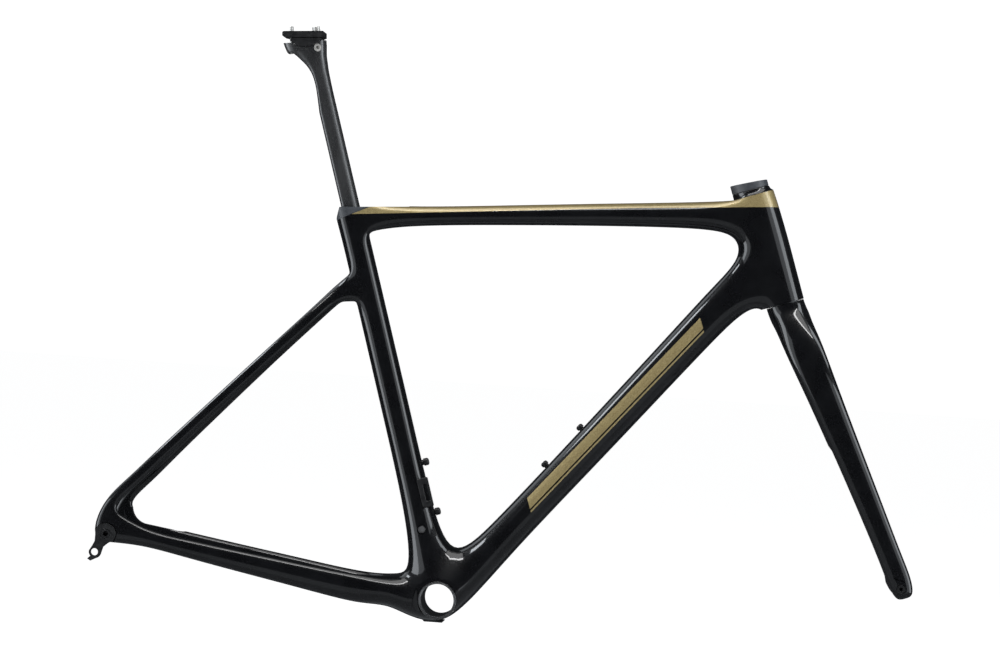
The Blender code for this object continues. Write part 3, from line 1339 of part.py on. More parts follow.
def build():
    for leftover in list(bpy.data.objects):
        bpy.data.objects.remove(leftover)
    materials = make_materials()
    steering = pivot("steering", in_space(CROWN))
    post_slide = pivot("seatpost_height", in_space(CLAMP_MIDDLE))
    tilt = pivot("saddle_tilt", CLAMP.space(TILT_AHEAD, TILT_ABOVE))
    front_pull = pivot("front_axle_pull", in_space(FRONT_AXLE))
    rear_pull = pivot("rear_axle_pull", in_space(REAR_AXLE))
    brakes = brake_pieces()

    sections = frame_sections()
    cover = [section for section in sections if section.name == "seat_clamp_cover"]
    dress([section for section in sections if section not in cover], materials["gloss_carbon"])
    dress(cover, materials["blue_grey_plastic"])
    dress(headset_frame_side(), materials["bearing_steel"])
    dress(bottom_bracket_pieces(), materials["dark_alloy"])
    dress([hanger(), *bottle_bolts()], materials["satin_black"])
    mount, plug = seat_tube_fittings()
    dress([mount], materials["satin_black"])
    dress([plug], materials["grey_rubber"])
    dress([*brakes["frame"], *seat_wedge()], materials["dark_alloy"])

    dress(fork_sections(), materials["gloss_carbon"], steering)
    steerer, race, expander, screw = steerer_pieces()
    dress([steerer], materials["satin_black"], steering)
    dress([race, expander, screw, *brakes["fork"]], materials["dark_alloy"], steering)
    ring, *stack = headset_top()
    dress([ring], materials["dark_alloy"], steering)
    dress(stack, materials["blue_grey_plastic"], steering)

    front_end = -FRONT_SPACING / 2 - 0.0105
    front = thru_axle("front_thru_axle", FRONT_LINE, front_end, FRONT_AXLE_SEAT, FRONT_AXLE_KEY_RADIUS)
    dress([front], materials["dark_alloy"], front_pull)
    rear_end = -HANGER_SEAT - HANGER_THICKNESS
    rear = thru_axle("rear_thru_axle", REAR_LINE, rear_end, REAR_AXLE_SEAT, REAR_AXLE_KEY_RADIUS)
    dress([rear], materials["dark_alloy"], rear_pull)
    front_pull.parent = steering
    front_pull.matrix_parent_inverse = Matrix.Translation(-steering.location)

    dress([seatpost()], materials["satin_black"], post_slide)
    dress(clamp_bolts(), materials["bright_steel"], post_slide)
    cradle, plate, nut = saddle_clamp()
    dress([cradle, plate], materials["satin_black"], tilt)
    dress([nut], materials["bright_steel"], tilt)
    tilt.parent = post_slide
    tilt.matrix_parent_inverse = Matrix.Translation(-post_slide.location)


build()
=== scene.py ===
"""The looks of a carbon road frameset for disc brakes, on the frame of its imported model.

Metres. +X points forward, +Y to the rider's left, +Z up, and the origin is the bottom bracket's centre.
"""

import math
from collections import namedtuple

import bmesh
import bpy
from mathutils import Matrix, Quaternion, Vector


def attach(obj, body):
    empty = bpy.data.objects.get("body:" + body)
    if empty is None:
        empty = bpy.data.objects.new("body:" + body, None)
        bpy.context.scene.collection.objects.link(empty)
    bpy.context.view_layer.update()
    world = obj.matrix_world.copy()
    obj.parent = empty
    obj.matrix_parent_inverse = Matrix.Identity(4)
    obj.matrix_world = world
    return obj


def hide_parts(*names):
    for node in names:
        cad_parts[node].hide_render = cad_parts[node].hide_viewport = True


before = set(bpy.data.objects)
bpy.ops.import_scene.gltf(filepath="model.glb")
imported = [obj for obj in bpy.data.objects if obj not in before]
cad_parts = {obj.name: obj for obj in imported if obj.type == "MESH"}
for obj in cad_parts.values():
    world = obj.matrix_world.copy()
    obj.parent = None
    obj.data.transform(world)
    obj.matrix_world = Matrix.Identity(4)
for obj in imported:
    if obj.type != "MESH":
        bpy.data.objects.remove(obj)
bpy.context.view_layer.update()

# Frame geometry
CHAINSTAY_LENGTH = 0.420
BOTTOM_BRACKET_DROP = 0.056
WHEELBASE = 0.991
SEAT_ANGLE = math.radians(72.9)
HEAD_ANGLE = math.radians(70.7)
SEAT_TUBE_LENGTH = 0.5085
HEAD_TUBE_LENGTH = 0.141
FORK_LENGTH = 0.380
FORK_RAKE = 0.0435
TOP_TUBE_DROP = 0.015
TOP_TUBE_HEAD_DROP = 0.0254
DOWN_TUBE_JOIN = 0.066
SEAT_STAY_JOIN = 0.425

# Hub, bottom bracket and steerer standards
REAR_SPACING = 0.142
FRONT_SPACING = 0.100
AXLE_RADIUS = 0.006
AXLE_HEAD_RADIUS = 0.009
SHELL_WIDTH = 0.0865
SHELL_BORE_RADIUS = 0.0205
SHELL_RADIUS = 0.024
STEERER_RADIUS = 0.0143
STEERER_BASE_RADIUS = 0.0165
STEERER_BORE_RADIUS = 0.011
STEERER_STUB = 0.012
LOWER_BEARING_RADIUS = 0.022
UPPER_BEARING_RADIUS = 0.0209
BEARING_HEIGHT = 0.007
BOTTLE_BOLT_SPACING = 0.064
BRAKE_BOLT_SPACING = 0.034
FORK_BRAKE_BOLT_SPACING = 0.070

# Seatpost and saddle clamp
SADDLE_HEIGHT = 0.7242
SADDLE_SETBACK = 0.0054
CLAMP_LEVEL = math.radians(4.0)
POST_INSERTION = 0.1235
POST_FRONT = 0.0150
POST_REAR = 0.0077
POST_HALF_WIDTH = 0.0145
POST_WALL = 0.0025
POST_BORE_DEPTH = 0.2785
RAIL_RADIUS = 0.0035
RAIL_SPREAD = 0.022
TILT_LIMIT = math.radians(7.0)

# Fits, and how finely round forms are divided
SEAM = 0.0003
CLEARANCE = 0.0003
ROUND_STEPS = 96
SMALL_ROUND_STEPS = 48
SMALL_RADIUS = 0.0095
PAD_STEPS = 16
CRADLE_STEPS = 40
POST_STEPS = 6
SHELL_LEVELS = 3
SMOOTH_ANGLE = math.radians(35)
# Corners closer than these are one, at the mirror's plane and along a scored line
MERGE_DISTANCE = 0.00001
SCORE_DISTANCE = 0.000001
# Longer than any wall that a cutter goes through
FAR = 0.060

# A tube's cross-section: how far along the axis it sits, its reach to each side of the axis in the
# side plane, and its full width across
Section = namedtuple("Section", "at above below width")
# A stay's or blade's cross-section: its share of the way along, its middle in the side plane, its share
# of the way out to the dropout, its depth in the side plane and its width across
Limb = namedtuple("Limb", "at offset across depth width")

TUBE_SQUARENESS = 0.78
LIMB_SQUARENESS = 0.58
# How much larger a control ring is than the section that it rounds into
TUBE_SWELL = 3 / (2 + TUBE_SQUARENESS)
LIMB_WIDTH_SWELL = 3 / (2 + LIMB_SQUARENESS)
LIMB_DEPTH_SWELL = 48 / 46
# How firmly the cage's crooks are held, where one is a sharp edge
CROOK_CREASE = 0.5
TOP_TUBE_CREASE = 0.40
STAY_CREASE = 0.40

SEAT_TUBE_SECTIONS = (
    Section(SEAT_TUBE_LENGTH + 0.0315, 0.0177, 0.0172, 0.0380),
    Section(SEAT_TUBE_LENGTH - 0.0005, 0.0181, 0.0174, 0.0380),
    Section(SEAT_TUBE_LENGTH - 0.0165, 0.0181, 0.0174, 0.0370),
    Section(SEAT_TUBE_LENGTH - 0.0385, 0.0181, 0.0167, 0.0360),
    Section(SEAT_STAY_JOIN + 0.0210, 0.0182, 0.0165, 0.0350),
    Section(SEAT_STAY_JOIN - 0.0010, 0.0182, 0.0165, 0.0350),
    Section(SEAT_STAY_JOIN - 0.0210, 0.0182, 0.0165, 0.0350),
    Section(SEAT_STAY_JOIN - 0.0368, 0.0182, 0.0165, 0.0350),
    Section(SEAT_STAY_JOIN - 0.0800, 0.0182, 0.0165, 0.0350),
    Section(0.230, 0.0182, 0.0167, 0.0360),
    Section(0.125, 0.0178, 0.0169, 0.0420),
)
HEAD_TUBE_SECTIONS = (
    Section(HEAD_TUBE_LENGTH, 0.0241, 0.0250, 0.0490),
    Section(HEAD_TUBE_LENGTH - 0.015, 0.0250, 0.0286, 0.0495),
    Section(HEAD_TUBE_LENGTH - 0.043, 0.0256, 0.0355, 0.0500),
    Section(DOWN_TUBE_JOIN + 0.004, 0.0257, 0.0368, 0.0505),
    Section(DOWN_TUBE_JOIN - 0.026, 0.0252, 0.0320, 0.0510),
    Section(DOWN_TUBE_JOIN - 0.060, 0.0248, 0.0270, 0.0510),
    Section(-0.024, 0.0245, 0.0250, 0.0510),
)
# The sections of these tubes, and the stays' yokes, are placed by their share of the way along
TOP_TUBE_SECTIONS = (
    Section(0.125, 0.0120, 0.0108, 0.0330),
    Section(0.370, 0.0136, 0.0110, 0.0360),
    Section(0.610, 0.0152, 0.0127, 0.0400),
    Section(0.780, 0.0158, 0.0151, 0.0430),
    Section(0.885, 0.0168, 0.0184, 0.0460),
)
DOWN_TUBE_SECTIONS = (
    Section(0.185, 0.0160, 0.0258, 0.0560),
    Section(0.430, 0.0178, 0.0260, 0.0520),
    Section(0.630, 0.0198, 0.0250, 0.0500),
    Section(0.770, 0.0217, 0.0244, 0.0500),
    Section(0.870, 0.0230, 0.0252, 0.0500),
)
CHAINSTAY_YOKE = Section(0.145, 0.0195, 0.0208, 0.0840)
CHAINSTAY_LIMBS = (
    Limb(0.225, -0.0064, 0.483, 0.0356, 0.0200),
    Limb(0.330, -0.0056, 0.593, 0.0322, 0.0175),
    Limb(0.470, -0.0031, 0.703, 0.0290, 0.0165),
    Limb(0.620, -0.0010, 0.814, 0.0256, 0.0155),
    Limb(0.770, 0.0018, 0.910, 0.0224, 0.0145),
    Limb(0.880, 0.0038, 0.972, 0.0190, 0.0135),
)
SEAT_STAY_YOKE = Section(0.112, 0.0095, 0.0105, 0.0330)
SEAT_STAY_LIMBS = (
    Limb(0.185, -0.0006, 0.262, 0.0162, 0.0125),
    Limb(0.356, 0.0008, 0.428, 0.0148, 0.0118),
    Limb(0.594, 0.0009, 0.662, 0.0144, 0.0116),
    Limb(0.796, 0.0008, 0.855, 0.0144, 0.0116),
    Limb(0.908, -0.0007, 0.952, 0.0148, 0.0120),
    Limb(0.988, 0.0007, 1.007, 0.0142, 0.0125),
)
FORK_CROWN_SECTIONS = (
    Section(-0.022, 0.0240, 0.0240, 0.0480),
    Section(0.004, 0.0240, 0.0240, 0.0490),
    Section(0.012, 0.0250, 0.0232, 0.0540),
    Section(0.024, 0.0272, 0.0220, 0.0680),
)
# A blade's offset is a share of the rake
FORK_BLADE_LIMBS = (
    Limb(0.137, 0.156, 0.610, 0.0464, 0.0240),
    Limb(0.224, 0.253, 0.764, 0.0436, 0.0205),
    Limb(0.342, 0.384, 0.845, 0.0392, 0.0185),
    Limb(0.526, 0.581, 0.918, 0.0346, 0.0165),
    Limb(0.724, 0.785, 0.964, 0.0311, 0.0150),
    Limb(0.895, 0.948, 0.991, 0.0287, 0.0140),
    Limb(0.979, 1.023, 1.000, 0.0304, 0.0138),
    Limb(1.036, 1.041, 1.000, 0.0220, 0.0138),
)
STAY_REACH = REAR_SPACING / 2 + 0.0015
BLADE_REACH = FRONT_SPACING / 2 + 0.0050


def direction(angle):
    return Vector((math.cos(angle), math.sin(angle)))


def in_space(point, across=0.0):
    """A point of the side plane, moved across by a distance to the left."""
    return Vector((point.x, across, point.y))


class Axis:
    """A straight line in the side plane, with the normal that its sections reach along."""

    def __init__(self, start, end, turn):
        self.start = start
        self.length = (end - start).length
        self.along = (end - start).normalized()
        self.normal = Vector((-self.along.y, self.along.x)) * turn

    def point(self, distance, offset=0.0):
        return self.start + self.along * distance + self.normal * offset

    def space(self, distance, offset=0.0, across=0.0):
        return in_space(self.point(distance, offset), across)


BOTTOM_BRACKET = Vector((0.0, 0.0))
REAR_AXLE = Vector((-math.sqrt(CHAINSTAY_LENGTH**2 - BOTTOM_BRACKET_DROP**2), BOTTOM_BRACKET_DROP))
FRONT_AXLE = REAR_AXLE + Vector((WHEELBASE, 0.0))
STEERING_UP = direction(math.pi - HEAD_ANGLE)
STEERING_FORWARD = direction(math.pi / 2 - HEAD_ANGLE)
CROWN = FRONT_AXLE - STEERING_FORWARD * FORK_RAKE + STEERING_UP * FORK_LENGTH
HEAD = Axis(CROWN, CROWN + STEERING_UP * HEAD_TUBE_LENGTH, -1)
FORK = Axis(CROWN, CROWN - STEERING_UP * FORK_LENGTH, 1)
SEAT = Axis(BOTTOM_BRACKET, direction(math.pi - SEAT_ANGLE) * SEAT_TUBE_LENGTH, -1)
TOP = Axis(SEAT.point(SEAT_TUBE_LENGTH - TOP_TUBE_DROP), HEAD.point(HEAD_TUBE_LENGTH - TOP_TUBE_HEAD_DROP), 1)
DOWN = Axis(BOTTOM_BRACKET, HEAD.point(DOWN_TUBE_JOIN), 1)
CHAIN = Axis(BOTTOM_BRACKET, REAR_AXLE, -1)
SEAT_STAY_END = REAR_AXLE + Vector((0.0045, 0.0420))
STAY = Axis(SEAT.point(SEAT_STAY_JOIN), SEAT_STAY_END, -1)
CLAMP_MIDDLE = SEAT.point(SADDLE_HEIGHT, -SADDLE_SETBACK)
CLAMP = Axis(CLAMP_MIDDLE, CLAMP_MIDDLE + direction(CLAMP_LEVEL), 1)


def new_object(name, mesh):
    body = bpy.data.objects.new(name, mesh)
    bpy.context.scene.collection.objects.link(body)
    return body


def apply_modifiers(body):
    depsgraph = bpy.context.evaluated_depsgraph_get()
    mesh = bpy.data.meshes.new_from_object(body.evaluated_get(depsgraph))
    body.modifiers.clear()
    body.data = mesh
    return body


def body_from(name, shape):
    """An object made of a finished shape."""
    mesh = bpy.data.meshes.new(name)
    shape.to_mesh(mesh)
    shape.free()
    return new_object(name, mesh)


# A straight line in space, with two directions across it
Line = namedtuple("Line", "origin along forward side")
LEFT = Vector((0.0, 1.0, 0.0))
FORWARD = Vector((1.0, 0.0, 0.0))
UP = Vector((0.0, 0.0, 1.0))


def along_line(axis, offset=0.0, across=0.0):
    return Line(axis.space(0.0, offset, across), in_space(axis.along), in_space(axis.normal), LEFT)


def normal_line(axis, distance, across=0.0):
    """The line square to an axis, measured from the axis."""
    return Line(axis.space(distance, 0.0, across), in_space(axis.normal), in_space(axis.along), LEFT)


def cross_line(point):
    """The line straight across the frame, measured to the left."""
    return Line(in_space(point), LEFT, FORWARD, UP)


def oval(line, distance, front, rear, half_width, slope=0.0, steps=ROUND_STEPS):
    """A ring across a line, whose plane drops towards the front by the slope."""
    ring = []
    for step in range(steps):
        turn = math.tau * step / steps
        reach = math.cos(turn) * (front if math.cos(turn) > 0 else rear)
        place = line.origin + line.along * (distance - slope * reach)
        ring.append(place + line.forward * reach + line.side * (math.sin(turn) * half_width))
    return ring


def circle(line, distance, radius, slope=0.0, steps=ROUND_STEPS):
    return oval(line, distance, radius, radius, radius, slope, steps)


def solid(name, rings, hollow=False):
    """A closed body skinned over rings, capped at both ends, or joined end to end round a hole."""
    shape = bmesh.new()
    loops = [[shape.verts.new(point) for point in ring] for ring in rings]
    count = len(loops[0])
    for first, second in zip(loops, loops[1:] + loops[:1] if hollow else loops[1:]):
        for i in range(count):
            j = (i + 1) % count
            shape.faces.new((first[i], first[j], second[j], second[i]))
    if not hollow:
        shape.faces.new(loops[0])
        shape.faces.new(loops[-1])
    bmesh.ops.recalc_face_normals(shape, faces=shape.faces)
    return body_from(name, shape)


def turned(name, line, profile, bore=0.0):
    """A turned body, whose profile is a list of distances along the line and radii, round a bore if any."""
    if bore:
        profile = [(profile[0][0], bore), *profile, (profile[-1][0], bore)]
    largest = max(radius for _, radius in profile)
    steps = SMALL_ROUND_STEPS if largest < SMALL_RADIUS else ROUND_STEPS
    rings = [circle(line, distance, radius, steps=steps) for distance, radius in profile]
    return solid(name, rings, hollow=bore > 0)


def stepped(steps, end):
    """A profile of steps, each with its start and radius, where one runs up to the next."""
    starts = [start for start, _ in steps]
    profile = []
    for (start, radius), stop in zip(steps, [*starts[1:], end]):
        profile += [(start, radius), (stop, radius)]
    return profile


def rod(name, line, start, end, radius, bore=0.0):
    return turned(name, line, [(start, radius), (end, radius)], bore)


def drill(line, start, end, radius):
    return rod("drill", line, start, end, radius)


def key(line, start, end, radius):
    """A hexagon socket's cutter."""
    return solid("key", [circle(line, distance, radius, steps=6) for distance in (start, end)])


def prism(name, outline, low, high):
    """An outline in the side plane, drawn out across the frame."""
    return solid(name, [[in_space(point, across) for point in outline] for across in (low, high)])


def block(name, axis, corners, low, high):
    """Corners along and above an axis, drawn out across the frame."""
    return prism(name, [axis.point(*corner) for corner in corners], low, high)


def box(axis, span, reach, low, high, name="cutter"):
    corners = ((span[0], reach[0]), (span[1], reach[0]), (span[1], reach[1]), (span[0], reach[1]))
    return block(name, axis, corners, low, high)


def pad(axis, span, foot, radius, low, high):
    """A shallow seat's cutter, whose ends round up out of its floor."""
    heading = math.degrees(math.atan2(axis.along.y, axis.along.x))
    first = arc(axis.point(span[0], foot + radius), radius, heading + 180, heading + 90, PAD_STEPS)
    last = arc(axis.point(span[1], foot + radius), radius, heading + 90, heading, PAD_STEPS)
    return prism("pad", [*first, *last], low, high)


def arc(centre, radius, start, end, steps):
    """Points along an arc in the side plane, between two angles in degrees."""
    angles = [math.radians(start + (end - start) * step / steps) for step in range(steps + 1)]
    return [centre + direction(angle) * radius for angle in angles]


def cut(body, cutters):
    tools = bpy.data.collections.new("Cutters")
    for cutter in cutters:
        tools.objects.link(cutter)
    boolean = body.modifiers.new("Cut", "BOOLEAN")
    boolean.operation = "DIFFERENCE"
    boolean.solver = "EXACT"
    boolean.operand_type = "COLLECTION"
    boolean.collection = tools
    apply_modifiers(body)
    for cutter in cutters:
        bpy.data.objects.remove(cutter)
    bpy.data.collections.remove(tools)
    return body


def loose_parts(shape):
    """The separate bodies of a mesh, as lists of their corners."""
    parts = []
    seen = set()
    for first in shape.verts:
        if first in seen:
            continue
        seen.add(first)
        part = [first]
        for corner in part:
            for edge in corner.link_edges:
                other = edge.other_vert(corner)
                if other not in seen:
                    seen.add(other)
                    part.append(other)
        parts.append(part)
    return parts


def split(body, spots):
    """Divides a sawn body into its sections, each named by the spot that it lies nearest to."""
    shape = bmesh.new()
    shape.from_mesh(body.data)
    parts = loose_parts(shape)
    sections = []
    for name, spot in spots.items():
        part = min(parts, key=lambda corners: min((corner.co - spot).length for corner in corners))
        number = {corner: i for i, corner in enumerate(part)}
        faces = [[number[corner] for corner in face.verts] for face in shape.faces if face.verts[0] in number]
        mesh = bpy.data.meshes.new(name)
        mesh.from_pydata([corner.co for corner in part], [], faces)
        sections.append(new_object(name, mesh))
    shape.free()
    bpy.data.objects.remove(body)
    return sections


class Cage:
    """The left half of a quad control mesh, whose open edge lies in the middle plane."""

    def __init__(self):
        self.points = []
        self.quads = []
        self.creases = []

    def add(self, point):
        self.points.append(point)
        return len(self.points) - 1

    def crease(self, near, far, weight):
        """Holds an edge sharp, fully at a weight of one."""
        self.creases.append((near, far, weight))

    def half_ring(self, axis, distance, section):
        """Rim, edge, side, edge and rim of half a tube, from its upper or front rim to its other one."""
        above = section.above * TUBE_SWELL
        below = section.below * TUBE_SWELL
        half = section.width / 2 * TUBE_SWELL
        corner = half * TUBE_SQUARENESS
        middle = (section.above - section.below) / 2
        spots = (
            (above, 0.0),
            (above * TUBE_SQUARENESS, corner),
            (middle, half),
            (-below * TUBE_SQUARENESS, corner),
            (-below, 0.0),
        )
        return [self.add(axis.space(distance, offset, across)) for offset, across in spots]

    def half_rings(self, axis, sections, unit=1.0):
        """Half rings of a tube's sections, whose places are counted in the unit."""
        return [self.half_ring(axis, section.at * unit, section) for section in sections]

    def limb_rings(self, axis, length, limbs, reach, unit=1.0):
        """A limb's closed rings: inner upper edge, outer upper edge, outer side, and so round."""
        rings = []
        for limb in limbs:
            middle = axis.point(limb.at * length, limb.offset * unit)
            across = limb.across * reach
            tall = limb.depth / 2 * LIMB_DEPTH_SWELL
            half = limb.width / 2 * LIMB_WIDTH_SWELL
            corner = half * LIMB_SQUARENESS
            upper = ((tall, -corner), (tall, corner), (0, half))
            spots = [(sign * up, sign * out) for sign in (1, -1) for up, out in upper]
            rings.append([self.add(in_space(middle + axis.normal * up, across + out)) for up, out in spots])
        return rings

    def bridge(self, first, second, closed=False, skip=None):
        count = len(first)
        for i in range(count if closed else count - 1):
            if i == skip:
                continue
            j = (i + 1) % count
            self.quads.append((first[i], first[j], second[j], second[i]))

    def bridge_all(self, rings, closed=False, skips=None):
        """Bridges a run of rings, and leaves out the quads where another tube joins."""
        skips = skips or {}
        for i in range(len(rings) - 1):
            self.bridge(rings[i], rings[i + 1], closed, skips.get(i))

    def close_half(self, ring):
        """Caps the end of a half ring."""
        middle = self.add((self.points[ring[0]] + self.points[ring[4]]) / 2)
        self.quads.append((ring[0], ring[1], ring[2], middle))
        self.quads.append((middle, ring[2], ring[3], ring[4]))

    def close_limb(self, ring):
        self.quads.append((ring[0], ring[1], ring[2], ring[5]))
        self.quads.append((ring[5], ring[2], ring[3], ring[4]))

    def fork_out(self, ring):
        """Turns a half ring into the first ring of a limb, split at a crotch in the middle plane."""
        crotch = self.add((self.points[ring[0]] + self.points[ring[4]]) / 2)
        return [*ring, crotch]

    def smooth_body(self, name):
        """The mirrored, subdivided body."""
        shape = bmesh.new()
        corners = [shape.verts.new(point) for point in self.points]
        for quad in self.quads:
            shape.faces.new([corners[i] for i in quad])
        crease = shape.edges.layers.float.new("crease_edge")
        for near, far, weight in self.creases:
            shape.edges.get((corners[near], corners[far]))[crease] = weight
        loose = [corner for corner in corners if not corner.link_faces]
        bmesh.ops.delete(shape, geom=loose, context="VERTS")
        bmesh.ops.recalc_face_normals(shape, faces=shape.faces)
        body = body_from(name, shape)
        mirror = body.modifiers.new("Mirror", "MIRROR")
        mirror.use_axis = (False, True, False)
        mirror.merge_threshold = MERGE_DISTANCE
        rounding = body.modifiers.new("Subdivision", "SUBSURF")
        rounding.levels = SHELL_LEVELS
        rounding.render_levels = SHELL_LEVELS
        return apply_modifiers(body)


# Control points of the bottom bracket's junction: the side-plane place and the distance across
JUNCTION = {
    "crook": (0.0108, 0.0442, 0.0230),
    "seat_side": (-0.0110, 0.0420, 0.0370),
    "heel": (-0.0352, 0.0305, 0.0270),
    "stay_side": (-0.0400, 0.0040, 0.0465),
    "stay_floor": (-0.0390, -0.0232, 0.0380),
    "floor": (0.0, -SHELL_RADIUS - 0.0088, 0.0400),
    "down_floor": (0.0318, -0.0114, 0.0300),
    "down_side": (0.0280, 0.0180, 0.0450),
    "middle": (0.0, 0.0, SHELL_WIDTH / 2 + 0.0200),
}


def frame_cage():
    cage = Cage()
    seat = cage.half_rings(SEAT, SEAT_TUBE_SECTIONS)
    head = cage.half_rings(HEAD, HEAD_TUBE_SECTIONS)
    top = cage.half_rings(TOP, TOP_TUBE_SECTIONS, TOP.length)
    down = cage.half_rings(DOWN, DOWN_TUBE_SECTIONS, DOWN.length)

    # The seat tube leaves room for the top tube in front and the seat stays behind
    cage.bridge_all(seat, skips={1: 0, 2: 0, 5: 3, 6: 3})
    cage.close_half(seat[0])
    # The head tube leaves room for the top and down tubes behind
    cage.bridge_all(head, skips={0: 3, 1: 3, 3: 3, 4: 3})
    cage.close_half(head[0])
    cage.close_half(head[-1])

    at_seat = [seat[1][0], seat[1][1], seat[2][1], seat[3][1], seat[3][0]]
    at_head = [head[0][4], head[0][3], head[1][3], head[2][3], head[2][4]]
    cage.bridge_all([at_seat, *top, at_head])
    # The head tube's top is flat, and the crooks at the seat tube are drawn tighter
    for i in range(4):
        cage.crease(head[0][i], head[0][i + 1], 1.0)
    cage.crease(seat[3][0], seat[3][1], TOP_TUBE_CREASE)
    cage.crease(seat[5][3], seat[5][4], CROOK_CREASE)
    cage.crease(seat[7][3], seat[7][4], CROOK_CREASE)

    # The junction round the bottom bracket
    side = {name: cage.add(in_space(Vector((x, z)), across)) for name, (x, z, across) in JUNCTION.items()}
    rim = {
        name: cage.add(in_space(Vector(JUNCTION[name][:2]), 0.0))
        for name in ("crook", "heel", "stay_floor", "floor", "down_floor")
    }
    seat_foot = [rim["crook"], side["crook"], side["seat_side"], side["heel"], rim["heel"]]
    down_foot = [rim["crook"], side["crook"], side["down_side"], side["down_floor"], rim["down_floor"]]
    stay_foot = [rim["heel"], side["heel"], side["stay_side"], side["stay_floor"], rim["stay_floor"]]
    cage.bridge(seat[-1], seat_foot)
    at_head = [head[3][4], head[3][3], head[4][3], head[5][3], head[5][4]]
    cage.bridge_all([down_foot, *down, at_head])
    around = ("down_side", "crook", "seat_side", "heel", "stay_side", "stay_floor", "floor", "down_floor")
    for i in range(0, len(around), 2):
        names = ("middle", around[i], around[i + 1], around[(i + 2) % len(around)])
        cage.quads.append(tuple(side[name] for name in names))
    for near, far in (("down_floor", "floor"), ("floor", "stay_floor")):
        cage.quads.append((side[near], side[far], rim[far], rim[near]))

    # The stays, and the dropout that joins them
    yoke = cage.half_ring(CHAIN, CHAINSTAY_YOKE.at * CHAIN.length, CHAINSTAY_YOKE)
    cage.bridge(stay_foot, yoke)
    chain = [cage.fork_out(yoke), *cage.limb_rings(CHAIN, CHAIN.length, CHAINSTAY_LIMBS, STAY_REACH)]
    at_seat = [seat[5][4], seat[5][3], seat[6][3], seat[7][3], seat[7][4]]
    yoke = cage.half_ring(STAY, SEAT_STAY_YOKE.at * STAY.length, SEAT_STAY_YOKE)
    cage.bridge(at_seat, yoke)
    cage.crease(yoke[3], yoke[4], STAY_CREASE)
    stay = [cage.fork_out(yoke), *cage.limb_rings(STAY, STAY.length, SEAT_STAY_LIMBS, STAY_REACH)]
    for run in (chain, stay):
        cage.bridge_all(run, closed=True)
    add_dropout(cage, chain[-1], stay[-1])
    return cage


# Control points of a rear dropout, from the axle
DROPOUT = {
    "corner": (0.0092, 0.0285),
    "chain_side": (0.0200, 0.0040),
    "chain_floor": (0.0120, -0.0112),
    "tip": (-0.0180, -0.0110),
    "stay_back": (-0.0140, 0.0230),
    "stay_side": (-0.0040, 0.0270),
    "middle": (0.0, 0.0040),
}
DROPOUT_OUTSIDE = REAR_SPACING / 2 + 0.0100
DROPOUT_INSIDE = REAR_SPACING / 2 - 0.0050


def add_dropout(cage, chain, stay):
    outer = {}
    inner = {}
    for name, place in DROPOUT.items():
        spot = REAR_AXLE + Vector(place)
        outer[name] = cage.add(in_space(spot, DROPOUT_OUTSIDE))
        inner[name] = cage.add(in_space(spot, DROPOUT_INSIDE))
    cage.bridge(chain, dropout_ring(inner, outer, "corner", "chain_side", "chain_floor"), closed=True)
    cage.bridge(stay, dropout_ring(inner, outer, "stay_back", "stay_side", "corner"), closed=True)
    for face in (outer, inner):
        cage.quads.append(tuple(face[n] for n in ("middle", "chain_side", "corner", "stay_side")))
        cage.quads.append(tuple(face[n] for n in ("middle", "stay_side", "stay_back", "tip")))
        cage.quads.append(tuple(face[n] for n in ("middle", "tip", "chain_floor", "chain_side")))
    cage.crease(outer["corner"], inner["corner"], CROOK_CREASE)
    for near, far in (("stay_back", "tip"), ("tip", "chain_floor")):
        cage.quads.append((outer[near], outer[far], inner[far], inner[near]))


def dropout_ring(inner, outer, upper, side, lower):
    return [inner[upper], outer[upper], outer[side], outer[lower], inner[lower], inner[side]]


def fork_cage():
    cage = Cage()
    crown = cage.half_rings(FORK, FORK_CROWN_SECTIONS)
    cage.close_half(crown[0])
    cage.bridge_all(crown)
    limbs = cage.limb_rings(FORK, FORK_LENGTH, FORK_BLADE_LIMBS, BLADE_REACH, FORK_RAKE)
    blade = [cage.fork_out(crown[-1]), *limbs]
    cage.bridge_all(blade, closed=True)
    cage.close_limb(blade[-1])
    return cage


# The seat clamp's cover: the slanting joint below it, and its top along and above the top tube's axis
COVER_JOINT = Axis(
    SEAT.point(SEAT_TUBE_LENGTH - 0.0154, -0.0163),
    SEAT.point(SEAT_TUBE_LENGTH - 0.0088, 0.0267),
    1,
)
COVER_TOP = 0.0126
COVER_REACH = 0.0750
COVER_JOINT_MARGIN = 0.0150
COVER_BACK = -0.0160
COVER_SLOPE_START = -0.0100
# The slope behind the post, from the cover's joint up to its top
COVER_SLOPE = Axis(SEAT.point(SEAT_TUBE_LENGTH - 0.0140, -0.0174), SEAT.point(SEAT_TUBE_LENGTH, -0.0093), 1)

# Headset
BEARING_SEAT_DEPTH = 0.0100
HEAD_BORE_RADIUS = 0.0180
CROWN_TOP = -0.0008
STEERER_SOCKET = 0.0255
STEERER_TOP = HEAD_TUBE_LENGTH + STEERER_STUB
CROWN_RACE_HEIGHT = 0.0027
HEADSET_REAR = 0.0272
HEAD_TRIM_RADIUS = HEADSET_REAR + 0.0050
CROWN_TRIM_RADIUS = HEADSET_REAR + 0.0100
STEERER_TAPER = (BEARING_SEAT_DEPTH + 0.0020, HEAD_TUBE_LENGTH / 2)
